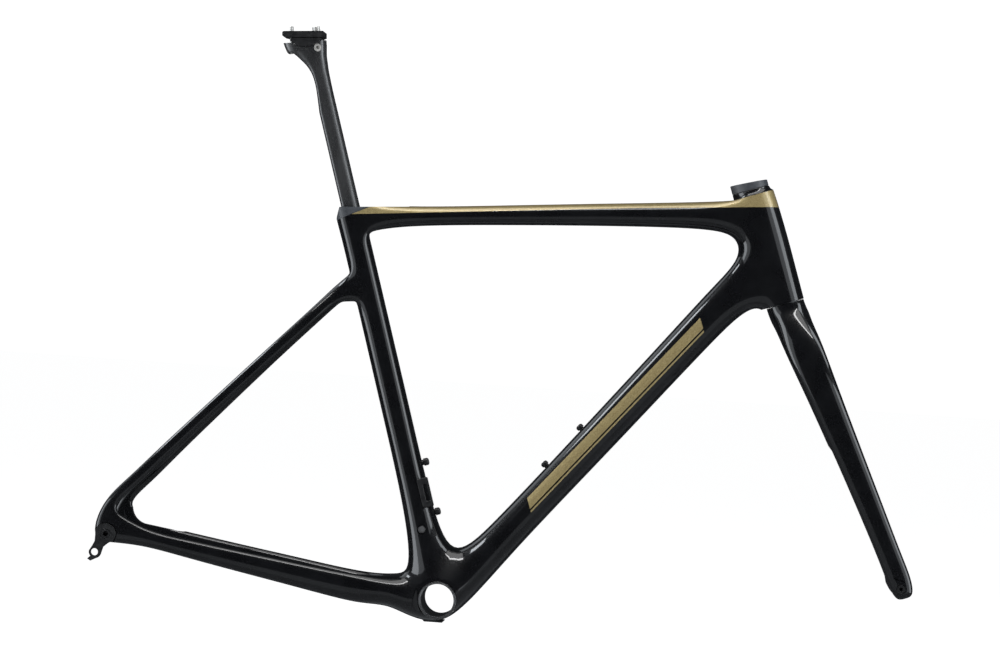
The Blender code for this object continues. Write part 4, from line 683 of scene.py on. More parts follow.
# The headset cover's flare: share of its height, its reach in front and half its width
HEADSET_FLARE = (
    (0.0, 0.0246, 0.0250),
    (0.15, 0.0231, 0.0240),
    (0.45, 0.0213, 0.0225),
    (1.0, 0.0199, 0.0215),
)
COVER_HEIGHT = 0.0070
SPACER_HEIGHT = 0.0091
SPACER_SLOPE = math.tan(math.radians(4.5))
BORE_GAP = 0.0005
RACE_EDGE = 0.0010
RACE_TAPER = 0.0020
SEAL_RADIUS = 0.0237
SEAL_THICKNESS = 0.0003
RING_FOOT = 0.0055
RING_TOP = 0.0030
EXPANDER_LENGTH = 0.0420
EXPANDER_BORE_RADIUS = 0.0035
EXPANDER_CAP_RADIUS = STEERER_RADIUS - 0.0010
EXPANDER_CAP_HEIGHT = 0.0016
PRELOAD_LENGTH = 0.0400
PRELOAD_RADIUS = 0.0032
PRELOAD_HEAD_RADIUS = 0.0058
PRELOAD_HEAD_HEIGHT = 0.0022
PRELOAD_KEY_RADIUS = 0.0022
PRELOAD_KEY_DEPTH = 0.0042

# Bottom bracket
SHELL_PROUD = 0.0006
GUIDE_SEAT = SHELL_RADIUS + 0.0025
GUIDE_SPAN = (-0.0189, 0.0088)
GUIDE_THICKNESS = 0.0025
GUIDE_HALF_WIDTH = 0.0150
GUIDE_SCREW_AT = -0.0145
GUIDE_SCREW_RADIUS = 0.0016
GUIDE_SCREW_HEAD_RADIUS = 0.0028
GUIDE_SCREW_SINK = 0.0012
GUIDE_SCREW_DEPTH = 0.0060
GUIDE_SLOPE = 0.0025
SHELL_EDGE = 0.0008
SHELL_LIP = 0.0010
SHELL_GROOVE = 0.0006
SHELL_FACE_RADIUS = SHELL_RADIUS + 0.0070

# Dropouts, hanger and axles
HUB_FACE_RADIUS = 0.0150
FRONT_HUB_FACE_RADIUS = 0.0130
HANGER_SEAT = REAR_SPACING / 2 + 0.0055
HANGER_THICKNESS = 0.0050
HANGER_RING_RADIUS = 0.0128
HANGER_RECESS = 0.0010
HANGER_EYE = REAR_AXLE + Vector((-0.0123, -0.0235))
HANGER_EYE_RADIUS = 0.0070
HANGER_HOLE_RADIUS = 0.0045
HANGER_ARM_TOP = 0.0060
HANGER_ARM_ROOM = 0.0300
# The hanger's outline: its arcs' first and last angles and steps, and its corners from the axle and the eye
HANGER_RING_ARC = (-42, 188, 56)
HANGER_EYE_ARC = (165, 228, 16)
HANGER_HEEL_ARC = (285, 345, 16)
HANGER_HEEL_RADIUS = HANGER_EYE_RADIUS + 0.0012
HANGER_ARM_REAR = ((-0.0129, -0.0100), (-0.0157, -0.0160))
HANGER_ARM_FRONT = ((-0.0019, -0.0167), (0.0034, -0.0118))
HANGER_STOP = ((-0.0085, -0.0088), (-0.0044, -0.0114))
REAR_AXLE_SEAT = REAR_SPACING / 2 + 0.0060
REAR_AXLE_END = -HANGER_SEAT - HANGER_THICKNESS
FRONT_AXLE_SEAT = FRONT_SPACING / 2 + 0.0100
FRONT_AXLE_END = -FRONT_SPACING / 2 - 0.0105
AXLE_HEAD_HEIGHT = 0.0055
REAR_AXLE_KEY_RADIUS = 0.0034
FRONT_AXLE_KEY_RADIUS = 0.0026
KEY_DEPTH = 0.0100
AXLE_EDGE = 0.0005

# Bottle bolts: their tube, where the lower one sits along it, its seat's height over the axis, and how far
# it stands up
BOTTLE_BOLTS = (
    ("seat_tube", SEAT, 0.1075, 0.0172, 0.0095),
    ("down_tube", DOWN, 0.2145, 0.0168, 0.0075),
)
BOTTLE_BOLT_RADIUS = 0.0025
BOTTLE_BOLT_HEAD_RADIUS = 0.0047
BOTTLE_BOLT_DEPTH = 0.0100
BOTTLE_SOCKET_RADIUS = 0.0020
BOTTLE_SOCKET_DEPTH = 0.0030
BOTTLE_BOLT_NECK_RADIUS = 0.0035
BOTTLE_BOLT_NECK = 0.30
BOTTLE_BOLT_DOME = 0.0024
BOTTLE_DOME_TURN = math.radians(60)
BOTTLE_DOME_STEPS = 6

# Front derailleur mount and wire plug, on the seat tube's right side
MOUNT_SPAN = (0.1157, 0.1530)
MOUNT_REACH = (0.0075, 0.0218)
MOUNT_SEAT = 0.0178
MOUNT_THICKNESS = 0.0040
MOUNT_SLOT_MIDDLE = 0.0165
MOUNT_SLOT_HALF_WIDTH = 0.0026
MOUNT_SLOT_MARGIN = 0.0080
PLUG_AT = 0.0900
PLUG_RADIUS = 0.0052
PLUG_SPAN = (-0.0225, -0.0130)
PLUG_EDGE = 0.0008

# Brake mounts on the left chainstay and the left fork blade
BRAKE_BOLT_AT = CHAIN.length - 0.0684
BRAKE_BOLTS = (BRAKE_BOLT_AT, BRAKE_BOLT_AT + BRAKE_BOLT_SPACING)
BRAKE_ACROSS = REAR_SPACING / 2 - 0.0010
BRAKE_PAD_ACROSS = (BRAKE_ACROSS - 0.0160, BRAKE_ACROSS + 0.0200)
BRAKE_PAD = 0.0116
BRAKE_PAD_MARGIN = 0.0050
BRAKE_PAD_RADIUS = 0.0220
SLEEVE_RADIUS = 0.0040
SLEEVE_BORE_RADIUS = 0.00275
SLEEVE_FOOT = -0.0075
FORK_PAD = Axis(FORK.point(FORK_LENGTH - 0.144, 0.0196), FORK.point(FORK_LENGTH - 0.046, 0.0312), -1)
FORK_PAD_SPAN = (0.0060, 0.0920)
FORK_PAD_RADIUS = 0.2000
FORK_PAD_ACROSS = (FRONT_SPACING / 2 - 0.0200, FRONT_SPACING / 2 + 0.0300)
FORK_INSERT_AT = 0.0140
FORK_INSERTS = (FORK_INSERT_AT, FORK_INSERT_AT + FORK_BRAKE_BOLT_SPACING)
FORK_INSERT_DEPTH = 0.0100
FORK_BRAKE_ACROSS = FRONT_SPACING / 2 + 0.0030
FORK_SLIT = Axis(FRONT_AXLE + Vector((-0.0105, 0.0132)), FRONT_AXLE + Vector((0.0047, 0.0093)), 1)
FORK_SLIT_HALF_WIDTH = 0.0007
FORK_SLIT_FLOOR = -FRONT_SPACING / 2 - 0.0090

# The seat wedge's pocket behind the post: distances below the seat tube's top
WEDGE_FOOT = 0.0568
WEDGE_DEPTH = 0.0070
WEDGE_HALF_WIDTH = 0.0080
WEDGE_POCKET_TOP = 0.0120

# Saddle clamp, along and above its own level line
TILT_AHEAD = 0.0026
TILT_ABOVE = 0.0186
CRADLE_RADIUS = 0.0280
CRADLE_SPAN = (-0.0155, 0.0232)
CRADLE_TOP = 0.0010
PLATE_FOOT = 0.0021
PLATE_TOP = 0.0099
PLATE_CORNERS = (
    (-0.0257, PLATE_FOOT + 0.0020),
    (-0.0175, PLATE_FOOT),
    (0.0222, PLATE_FOOT),
    (0.0258, PLATE_FOOT + 0.0014),
    (0.0258, PLATE_TOP),
    (-0.0235, PLATE_TOP),
    (-0.0257, PLATE_TOP - 0.0010),
)
CLAMP_HALF_WIDTH = 0.0270
RAIL_HEIGHT = 0.00155
EAR_TOP = -0.0040
LIP_TOP = -0.0006
LIP_ROOM = 0.0004
LIP_START = 0.0010
BARREL_RADIUS = 0.0047
BARREL_HALF_LENGTH = 0.0146
BARREL_KEY_RADIUS = 0.0022
BARREL_KEY_FLOOR = -0.0095
CLAMP_BOLT_RADIUS = 0.0025
CLAMP_BOLT_INSET = 0.0010
FRONT_BOLT = Axis(CLAMP.point(0.0179, -0.0103), CLAMP.point(0.0148, 0.0140), -1)
REAR_BOLT_AT = -0.0162
REAR_BOLT_SPAN = (-0.0168, 0.0175)
NUT_SPAN = (0.0214, 0.0273)
NUT_RADIUS = 0.0050
NUT_BORE_RADIUS = 0.0037
POST_NOSE = 0.78
POST_BACK = 0.5
# Seatpost sections: below the clamp, behind and in front of the seat tube's axis, half the width
POST_HEAD_SECTIONS = (
    (0.0942, POST_REAR, POST_FRONT, POST_HALF_WIDTH),
    (0.0742, 0.0056, 0.0150, 0.0143),
    (0.0602, 0.0046, 0.0152, 0.0142),
    (0.0462, 0.0054, 0.0156, 0.0142),
    (0.0352, 0.0087, 0.0166, 0.0144),
    (0.0257, 0.0139, 0.0176, 0.0147),
    (0.0125, 0.0236, 0.0206, 0.0150),
    (0.0105, 0.0300, 0.0208, 0.0150),
    (-0.0158, 0.0335, 0.0262, 0.0150),
)

STEERING = along_line(HEAD)
SHELL_LINE = cross_line(BOTTOM_BRACKET)
REAR_LINE = cross_line(REAR_AXLE)
FRONT_LINE = cross_line(FRONT_AXLE)
LEVEL = Axis(BOTTOM_BRACKET, Vector((1.0, 0.0)), 1)


def post_ring(distance, rear, front, half_width):
    """A seatpost section: a little squared in front, and more so behind."""
    middle = front - half_width
    ring = []
    for step in range(ROUND_STEPS):
        turn = math.tau * step / ROUND_STEPS
        squared = POST_BACK if math.cos(turn) < 0 else POST_NOSE
        reach = abs(math.cos(turn)) ** squared * (half_width if math.cos(turn) > 0 else -(rear + middle))
        out = math.copysign(abs(math.sin(turn)) ** squared, math.sin(turn))
        ring.append(SEAT.space(distance, middle + reach, out * half_width))
    return ring


def grown_post(start, end, growth):
    """The seatpost's lower section, grown or shrunk all round."""
    size = (POST_REAR + growth, POST_FRONT + growth, POST_HALF_WIDTH + growth)
    return solid("post", [post_ring(distance, *size) for distance in (start, end)])


def head_tube_cutters():
    """The head tube's lower end, its bore and the bearing seats."""
    lower = LOWER_BEARING_RADIUS + CLEARANCE
    upper = UPPER_BEARING_RADIUS + CLEARANCE
    upper_seat = HEAD_TUBE_LENGTH - BEARING_SEAT_DEPTH
    steps = ((-FAR, lower), (BEARING_SEAT_DEPTH, HEAD_BORE_RADIUS), (upper_seat, upper))
    return [
        drill(STEERING, -FAR, 0.0, HEAD_TRIM_RADIUS),
        turned("bore", STEERING, stepped(steps, HEAD_TUBE_LENGTH + FAR)),
    ]


def seat_tube_cutters():
    """The cover's top, the seatpost's bore, the wedge's pocket, and the seats on the tube."""
    top = SEAT_TUBE_LENGTH
    wedge = WEDGE_HALF_WIDTH + CLEARANCE
    pocket = (top - WEDGE_FOOT - CLEARANCE, top - WEDGE_POCKET_TOP)
    mount = (MOUNT_SPAN[0] - CLEARANCE, MOUNT_SPAN[1] + CLEARANCE)
    plug = cross_line(SEAT.point(PLUG_AT))
    return [
        box(TOP, (-FAR, COVER_REACH), (COVER_TOP, COVER_TOP + FAR), -FAR, FAR),
        grown_post(top - POST_BORE_DEPTH, top + FAR, CLEARANCE),
        box(COVER_SLOPE, (COVER_SLOPE_START, FAR), (0.0, FAR), -FAR, FAR),
        box(SEAT, pocket, (-POST_REAR - WEDGE_DEPTH, 0.0), -wedge, wedge),
        box(SEAT, mount, (MOUNT_REACH[0] - CLEARANCE, FAR), -FAR, -MOUNT_SEAT),
        drill(plug, -FAR, PLUG_SPAN[1] + CLEARANCE, PLUG_RADIUS + CLEARANCE),
    ]


def bottle_cutters():
    cutters = []
    for _, axis, place, seat, _ in BOTTLE_BOLTS:
        for distance in (place, place + BOTTLE_BOLT_SPACING):
            shank = BOTTLE_BOLT_RADIUS + CLEARANCE
            head = BOTTLE_BOLT_HEAD_RADIUS + 2 * CLEARANCE
            profile = stepped(((seat - BOTTLE_BOLT_DEPTH, shank), (seat, head)), seat + FAR)
            cutters.append(turned("seat", normal_line(axis, distance), profile))
    return cutters


def shell_cutters():
    """The bottom bracket's bore and side faces, and the cable guide's seat with its screw hole."""
    face = SHELL_WIDTH / 2 - SHELL_PROUD
    guide = (GUIDE_SPAN[0] - CLEARANCE, GUIDE_SPAN[1] + CLEARANCE)
    width = GUIDE_HALF_WIDTH + CLEARANCE
    screw = normal_line(LEVEL, GUIDE_SCREW_AT)
    return [
        drill(SHELL_LINE, -2 * FAR, 2 * FAR, SHELL_RADIUS + CLEARANCE),
        drill(SHELL_LINE, -2 * FAR, -face, SHELL_FACE_RADIUS),
        drill(SHELL_LINE, face, 2 * FAR, SHELL_FACE_RADIUS),
        box(LEVEL, guide, (-FAR, -GUIDE_SEAT), -width, width),
        drill(screw, -FAR, GUIDE_SCREW_DEPTH - GUIDE_SEAT, GUIDE_SCREW_RADIUS + CLEARANCE),
    ]


def dropout_cutters():
    """The axle's holes, the hub's faces, the hanger's recess and the brake's pad."""
    half = REAR_SPACING / 2
    below = (REAR_AXLE.y - FAR, REAR_AXLE.y - HANGER_ARM_TOP)
    arm = (REAR_AXLE.x - HANGER_ARM_ROOM, REAR_AXLE.x + HANGER_RING_RADIUS - HANGER_RECESS)
    seat = (BRAKE_BOLTS[0] - BRAKE_PAD_MARGIN, BRAKE_BOLTS[1] + BRAKE_PAD_MARGIN)
    cutters = [
        drill(REAR_LINE, -2 * half, 2 * half, AXLE_RADIUS + CLEARANCE),
        drill(REAR_LINE, -half, half, HUB_FACE_RADIUS),
        drill(REAR_LINE, -2 * half, -HANGER_SEAT, HANGER_RING_RADIUS + HANGER_RECESS),
        box(LEVEL, arm, below, -2 * half, -HANGER_SEAT),
        drill(REAR_LINE, REAR_AXLE_SEAT, 2 * half, AXLE_HEAD_RADIUS + 2 * CLEARANCE),
        pad(CHAIN, seat, BRAKE_PAD, BRAKE_PAD_RADIUS, *BRAKE_PAD_ACROSS),
    ]
    for distance in BRAKE_BOLTS:
        line = normal_line(CHAIN, distance, BRAKE_ACROSS)
        cutters.append(drill(line, -FAR, FAR, SLEEVE_RADIUS + CLEARANCE))
    return cutters


def frame_shell():
    """The moulded frame as one smooth shell, and the seat clamp's cover above its slanting joint."""
    shell = frame_cage().smooth_body("moulding")
    slant = (-COVER_JOINT_MARGIN, COVER_JOINT.length + COVER_JOINT_MARGIN)
    joint = box(COVER_JOINT, slant, (-SEAM / 2, SEAM / 2), -FAR, FAR)
    cutters = [
        *head_tube_cutters(),
        *seat_tube_cutters(),
        *bottle_cutters(),
        *shell_cutters(),
        *dropout_cutters(),
        joint,
    ]
    cut(shell, cutters)
    spots = {
        "frame_shell": DOWN.space(DOWN.length / 2),
        "seat_cover": SEAT.space(SEAT_TUBE_LENGTH, COVER_BACK),
    }
    return split(shell, spots)


def fork_shell():
    """The moulded fork as one smooth shell."""
    half = FRONT_SPACING / 2
    fork = fork_cage().smooth_body("fork_shell")
    cutters = [
        drill(STEERING, CROWN_TOP, FAR, CROWN_TRIM_RADIUS),
        drill(STEERING, -STEERER_SOCKET - CLEARANCE, FAR, STEERER_BASE_RADIUS + CLEARANCE),
        drill(STEERING, -FAR, 0.0, STEERER_BORE_RADIUS),
        drill(FRONT_LINE, -2 * half, 2 * half, AXLE_RADIUS + CLEARANCE),
        drill(FRONT_LINE, -half, half, FRONT_HUB_FACE_RADIUS),
        drill(FRONT_LINE, FRONT_AXLE_SEAT, 2 * half, AXLE_HEAD_RADIUS + 2 * CLEARANCE),
        pad(FORK_PAD, FORK_PAD_SPAN, 0.0, FORK_PAD_RADIUS, *FORK_PAD_ACROSS),
    ]
    slit = (-FORK_SLIT_HALF_WIDTH, FORK_SLIT_HALF_WIDTH)
    cutters.append(box(FORK_SLIT, (0.0, FORK_SLIT.length), slit, -2 * half, FORK_SLIT_FLOOR))
    for distance in FORK_INSERTS:
        line = normal_line(FORK_PAD, distance, FORK_BRAKE_ACROSS)
        cutters.append(drill(line, -FORK_INSERT_DEPTH - CLEARANCE, FAR, SLEEVE_RADIUS + CLEARANCE))
    return cut(fork, cutters)


# The gold paint's lower edge, along and above the top tube's axis
PAINT_EDGE = ((-0.020, 0.0030), (0.364, 0.0090), (0.640, 0.0089))
# The plain stripe on the down tube: along the tube, and above its axis
STRIPE_SPAN = (0.165, 0.478)
STRIPE_REACH = (-0.0045, 0.0075)
PINSTRIPE_REACH = (-0.0085, -0.0065)
STRIPE_SLANT = 0.6
STRIPE_MARGIN = 0.02


def place_on(axis, point):
    """A point's distance along an axis and its offset from it."""
    here = Vector((point.x, point.z)) - axis.start
    return here.dot(axis.along), here.dot(axis.normal)


def score(shape, axis, span, start, end):
    """Divides the faces over a span of an axis along a line given by two places on it."""
    faces = []
    for face in shape.faces:
        along, offset = place_on(axis, face.calc_center_median())
        if span[0] < along < span[1] and abs(offset) < FAR:
            faces.append(face)
    edges = {edge for face in faces for edge in face.edges}
    corners = {corner for face in faces for corner in face.verts}
    first = axis.point(*start)
    run = (axis.point(*end) - first).normalized()
    normal = in_space(Vector((-run.y, run.x)))
    area = [*corners, *edges, *faces]
    bmesh.ops.bisect_plane(
        shape, geom=area, dist=SCORE_DISTANCE, plane_co=in_space(first), plane_no=normal
    )


def in_paint(point):
    along, offset = place_on(TOP, point)
    for (start, low), (end, high) in zip(PAINT_EDGE, PAINT_EDGE[1:]):
        if start <= along < end:
            return offset > low + (high - low) * (along - start) / (end - start)
    return False


def in_stripe(point):
    along, offset = place_on(DOWN, point)
    along -= STRIPE_SLANT * offset
    inside = any(low < offset < high for low, high in (STRIPE_REACH, PINSTRIPE_REACH))
    return inside and STRIPE_SPAN[0] < along < STRIPE_SPAN[1]


def paint(shell):
    """Divides the shell along the paint's edges, and gives the faces inside them the second material."""
    shape = bmesh.new()
    shape.from_mesh(shell.data)
    for start, end in zip(PAINT_EDGE, PAINT_EDGE[1:]):
        score(shape, TOP, (start[0], end[0]), start, end)
    span = (STRIPE_SPAN[0] - STRIPE_MARGIN, STRIPE_SPAN[1] + STRIPE_MARGIN)
    for offset in (*STRIPE_REACH, *PINSTRIPE_REACH):
        score(shape, DOWN, span, (0.0, offset), (1.0, offset))
    for along in STRIPE_SPAN:
        span = (along - STRIPE_MARGIN, along + STRIPE_MARGIN)
        score(shape, DOWN, span, (along, 0.0), (along + STRIPE_SLANT, 1.0))
    for face in shape.faces:
        middle = face.calc_center_median()
        face.material_index = int(in_paint(middle) or in_stripe(middle))
    shape.to_mesh(shell.data)
    shape.free()


def steerer_pieces():
    """The steerer with its race, and the expander that holds the headset together."""
    taper = [
        (-STEERER_SOCKET, STEERER_BASE_RADIUS),
        (STEERER_TAPER[0], STEERER_BASE_RADIUS),
        (STEERER_TAPER[1], STEERER_RADIUS),
        (STEERER_TOP, STEERER_RADIUS),
    ]
    start = CROWN_TOP + CLEARANCE
    rim = LOWER_BEARING_RADIUS - RACE_EDGE
    race = [
        (start, SEAL_RADIUS),
        (start + SEAL_THICKNESS, SEAL_RADIUS),
        (start + SEAL_THICKNESS, rim),
        (start + RACE_EDGE, rim),
        (start + CROWN_RACE_HEIGHT, rim - RACE_TAPER),
    ]
    top = STEERER_TOP + CLEARANCE
    cap = top + EXPANDER_CAP_HEIGHT
    plug = ((top - EXPANDER_LENGTH, STEERER_BORE_RADIUS - CLEARANCE), (top, EXPANDER_CAP_RADIUS))
    under = cap + CLEARANCE
    head = under + PRELOAD_HEAD_HEIGHT
    screw = ((top - PRELOAD_LENGTH, PRELOAD_RADIUS), (under, PRELOAD_HEAD_RADIUS))
    socket = key(STEERING, head - PRELOAD_KEY_DEPTH, head + FAR, PRELOAD_KEY_RADIUS)
    return [
        turned("steerer_tube", STEERING, taper, STEERER_BORE_RADIUS),
        turned("crown_race", STEERING, race, STEERER_BASE_RADIUS + BORE_GAP),
        turned("expander_plug", STEERING, stepped(plug, cap), EXPANDER_BORE_RADIUS),
        cut(turned("preload_screw", STEERING, stepped(screw, head)), [socket]),
    ]


def headset_top():
    """The compression ring, the flared cover and the slanting spacer above the head tube."""
    bore = STEERER_RADIUS + CLEARANCE
    bearing_top = HEAD_TUBE_LENGTH - BEARING_SEAT_DEPTH + CLEARANCE + BEARING_HEIGHT
    wedge = [(bearing_top + CLEARANCE, bore + RING_FOOT), (HEAD_TUBE_LENGTH, bore + RING_TOP)]
    foot = HEAD_TUBE_LENGTH + CLEARANCE
    rows = []
    for share, front, half_width in HEADSET_FLARE:
        rows.append(oval(STEERING, foot + COVER_HEIGHT * share, front, HEADSET_REAR, half_width))
    rows.append(circle(STEERING, foot + COVER_HEIGHT, bore))
    rows.append(circle(STEERING, foot, bore))
    base = foot + COVER_HEIGHT + CLEARANCE
    peak = base + SPACER_HEIGHT
    stack = [
        circle(STEERING, base, bore),
        oval(STEERING, base, front, HEADSET_REAR, half_width),
        oval(STEERING, peak, front, HEADSET_REAR, half_width, SPACER_SLOPE),
        circle(STEERING, peak, bore, SPACER_SLOPE),
    ]
    return [
        turned("compression_ring", STEERING, wedge, bore),
        solid("headset_cover", rows, hollow=True),
        solid("headset_spacer", stack, hollow=True),
    ]


def bottom_bracket_pieces():
    """The shell, and the cable guide that is screwed on below it."""
    half = SHELL_WIDTH / 2
    lip = SHELL_BORE_RADIUS + SHELL_LIP
    sunk = half - SHELL_GROOVE
    left = [
        (sunk - SHELL_EDGE, SHELL_RADIUS),
        (sunk, SHELL_RADIUS - SHELL_EDGE),
        (sunk, lip + SHELL_GROOVE),
        (half, lip),
    ]
    right = [(-distance, radius) for distance, radius in reversed(left)]
    top = -GUIDE_SEAT - CLEARANCE
    foot = top - GUIDE_THICKNESS
    rear, front = GUIDE_SPAN
    outline = [(rear, top), (front, top), (front - GUIDE_SLOPE, foot), (rear + GUIDE_SLOPE, foot)]
    guide = block("cable_guide", LEVEL, outline, -GUIDE_HALF_WIDTH, GUIDE_HALF_WIDTH)
    line = normal_line(LEVEL, GUIDE_SCREW_AT)
    neck = foot + GUIDE_SCREW_SINK
    hole = ((foot - FAR, GUIDE_SCREW_HEAD_RADIUS + CLEARANCE), (neck, GUIDE_SCREW_RADIUS + CLEARANCE))
    cut(guide, [turned("hole", line, stepped(hole, FAR))])
    screw = ((foot, GUIDE_SCREW_HEAD_RADIUS), (neck - CLEARANCE, GUIDE_SCREW_RADIUS))
    end = GUIDE_SCREW_DEPTH - CLEARANCE - GUIDE_SEAT
    return [
        turned("bottom_bracket_shell", SHELL_LINE, right + left, SHELL_BORE_RADIUS),
        guide,
        turned("cable_guide_screw", line, stepped(screw, end)),
    ]


def hanger():
    """The derailleur hanger: a ring on the axle, an arm, a threaded eye and a stop."""
    outline = [
        *arc(REAR_AXLE, HANGER_RING_RADIUS, *HANGER_RING_ARC),
        *(REAR_AXLE + Vector(corner) for corner in HANGER_ARM_REAR),
        *arc(HANGER_EYE, HANGER_EYE_RADIUS, *HANGER_EYE_ARC),
        *(HANGER_EYE + Vector(corner) for corner in HANGER_STOP),
        *arc(HANGER_EYE, HANGER_HEEL_RADIUS, *HANGER_HEEL_ARC),
        *(REAR_AXLE + Vector(corner) for corner in HANGER_ARM_FRONT),
    ]
    seat = -HANGER_SEAT - CLEARANCE
    piece = prism("derailleur_hanger", outline, seat - HANGER_THICKNESS, seat)
    thread = drill(cross_line(HANGER_EYE), -REAR_SPACING, REAR_SPACING, HANGER_HOLE_RADIUS)
    return cut(piece, [drill(REAR_LINE, -REAR_SPACING, REAR_SPACING, AXLE_RADIUS + CLEARANCE), thread])


def thru_axle(name, line, end, seat, key_radius):
    """An axle pushed in from the left, with a key hole in each end."""
    head = seat + CLEARANCE
    top = head + AXLE_HEAD_HEIGHT
    shaft = AXLE_RADIUS + CLEARANCE / 2
    profile = [
        (end, shaft - AXLE_EDGE),
        (end + AXLE_EDGE, shaft),
        (head, shaft),
        (head, AXLE_HEAD_RADIUS),
        (top - AXLE_EDGE, AXLE_HEAD_RADIUS),
        (top, AXLE_HEAD_RADIUS - AXLE_EDGE),
    ]
    keys = [
        key(line, end - AXLE_EDGE, end + KEY_DEPTH, key_radius),
        key(line, top - KEY_DEPTH, top + AXLE_EDGE, key_radius),
    ]
    return cut(turned(name, line, profile), keys)


def bottle_bolts():
    """Four bolts with domed heads, in pairs on the seat tube and the down tube."""
    pieces = []
    for tube, axis, place, seat, height in BOTTLE_BOLTS:
        for level, distance in (("lower", place), ("upper", place + BOTTLE_BOLT_SPACING)):
            under = seat + CLEARANCE
            top = under + height
            neck = under + height * BOTTLE_BOLT_NECK
            steps = ((under - BOTTLE_BOLT_DEPTH, BOTTLE_BOLT_RADIUS), (under, BOTTLE_BOLT_NECK_RADIUS))
            profile = [*stepped(steps, neck), (neck, BOTTLE_BOLT_HEAD_RADIUS)]
            for step in range(BOTTLE_DOME_STEPS + 1):
                turn = BOTTLE_DOME_TURN * step / BOTTLE_DOME_STEPS
                rise = top - BOTTLE_BOLT_DOME * (1 - math.sin(turn) / math.sin(BOTTLE_DOME_TURN))
                profile.append((rise, BOTTLE_BOLT_HEAD_RADIUS * math.cos(turn)))
            line = normal_line(axis, distance)
            bolt = turned(f"{tube}_bottle_bolt_{level}", line, profile)
            pieces.append(cut(bolt, [key(line, top - BOTTLE_SOCKET_DEPTH, top + FAR, BOTTLE_SOCKET_RADIUS)]))
    return pieces


def seat_tube_fittings():
    """The slotted front derailleur mount and the plug in the wire's hole."""
    outer = -MOUNT_SEAT - CLEARANCE - MOUNT_THICKNESS
    mount = box(SEAT, MOUNT_SPAN, MOUNT_REACH, outer, -MOUNT_SEAT - CLEARANCE, "front_derailleur_mount")
    slot_span = (MOUNT_SPAN[0] + MOUNT_SLOT_MARGIN, MOUNT_SPAN[1] - MOUNT_SLOT_MARGIN)
    slot_reach = (MOUNT_SLOT_MIDDLE - MOUNT_SLOT_HALF_WIDTH, MOUNT_SLOT_MIDDLE + MOUNT_SLOT_HALF_WIDTH)
    cut(mount, [box(SEAT, slot_span, slot_reach, -FAR, 0.0)])
    start, end = PLUG_SPAN
    profile = [(start, PLUG_RADIUS - PLUG_EDGE), (start + PLUG_EDGE, PLUG_RADIUS), (end, PLUG_RADIUS)]
    return [mount, turned("wire_plug", cross_line(SEAT.point(PLUG_AT)), profile)]


def brake_sleeves():
    """Sleeves through the left chainstay."""
    pieces = []
    for name, distance in zip(("front", "rear"), BRAKE_BOLTS):
        line = normal_line(CHAIN, distance, BRAKE_ACROSS)
        size = (SLEEVE_FOOT, BRAKE_PAD - CLEARANCE, SLEEVE_RADIUS, SLEEVE_BORE_RADIUS)
        pieces.append(rod("rear_brake_sleeve_" + name, line, *size))
    return pieces


def brake_inserts():
    """Threaded inserts in the left fork blade."""
    pieces = []
    for name, distance in zip(("upper", "lower"), FORK_INSERTS):
        line = normal_line(FORK_PAD, distance, FORK_BRAKE_ACROSS)
        size = (-FORK_INSERT_DEPTH, -CLEARANCE, SLEEVE_RADIUS, SLEEVE_BORE_RADIUS)
        pieces.append(rod("front_brake_insert_" + name, line, *size))
    return pieces


def clamp_arc(radius, rear, front):
    """The rounded seat that the saddle clamp tilts on."""
    centre = CLAMP.point(TILT_AHEAD, TILT_ABOVE)
    first = -math.degrees(math.acos((rear - TILT_AHEAD) / radius) - CLAMP_LEVEL)
    last = -math.degrees(math.acos((front - TILT_AHEAD) / radius) - CLAMP_LEVEL)
    return arc(centre, radius, first, last, CRADLE_STEPS)


def eased(sections, steps):
    """Sections with smooth ones between them, along a curve through them all."""
    run = [sections[0], *sections, sections[-1]]
    made = []
    for before, near, far, after in zip(run, run[1:], run[2:], run[3:]):
        for step in range(steps):
            share = step / steps
            section = []
            for a, b, c, d in zip(before, near, far, after):
                bend = (3 * (b - c) + d - a) * share
                section.append(b + 0.5 * share * (c - a + share * (2 * a - 5 * b + 4 * c - d + bend)))
            made.append(section)
    return [*made, sections[-1]]


def seatpost():
    """The post: a tube squared off behind, which sweeps back into the head under the saddle clamp."""
    foot = SEAT_TUBE_LENGTH - POST_INSERTION
    rings = [post_ring(foot, POST_REAR, POST_FRONT, POST_HALF_WIDTH)]
    for below, rear, front, half_width in eased(POST_HEAD_SECTIONS, POST_STEPS):
        rings.append(post_ring(SADDLE_HEIGHT - below, rear, front, half_width))
    post = solid("seatpost", rings)
    rear, front = CRADLE_SPAN
    seat = clamp_arc(CRADLE_RADIUS + CLEARANCE, rear - CLEARANCE, front + LIP_ROOM)
    over = [
        CLAMP.point(-FAR, FAR),
        CLAMP.point(-FAR, EAR_TOP),
        CLAMP.point(rear - CLEARANCE, EAR_TOP),
        *seat,
        CLAMP.point(front + LIP_START, LIP_TOP),
        CLAMP.point(FAR, LIP_TOP),
        CLAMP.point(FAR, FAR),
    ]
    hole = CLAMP_BOLT_RADIUS + CLEARANCE
    cutters = [
        prism("over", over, -FAR, FAR),
        grown_post(foot - FAR, SADDLE_HEIGHT - POST_HEAD_SECTIONS[0][0], -POST_WALL),
        drill(cross_line(FRONT_BOLT.start), -FAR, FAR, BARREL_RADIUS + CLEARANCE),
        drill(along_line(FRONT_BOLT), 0.0, FAR, hole),
        drill(normal_line(CLAMP, REAR_BOLT_AT), -FAR, FAR, hole),
    ]
    return cut(post, cutters)


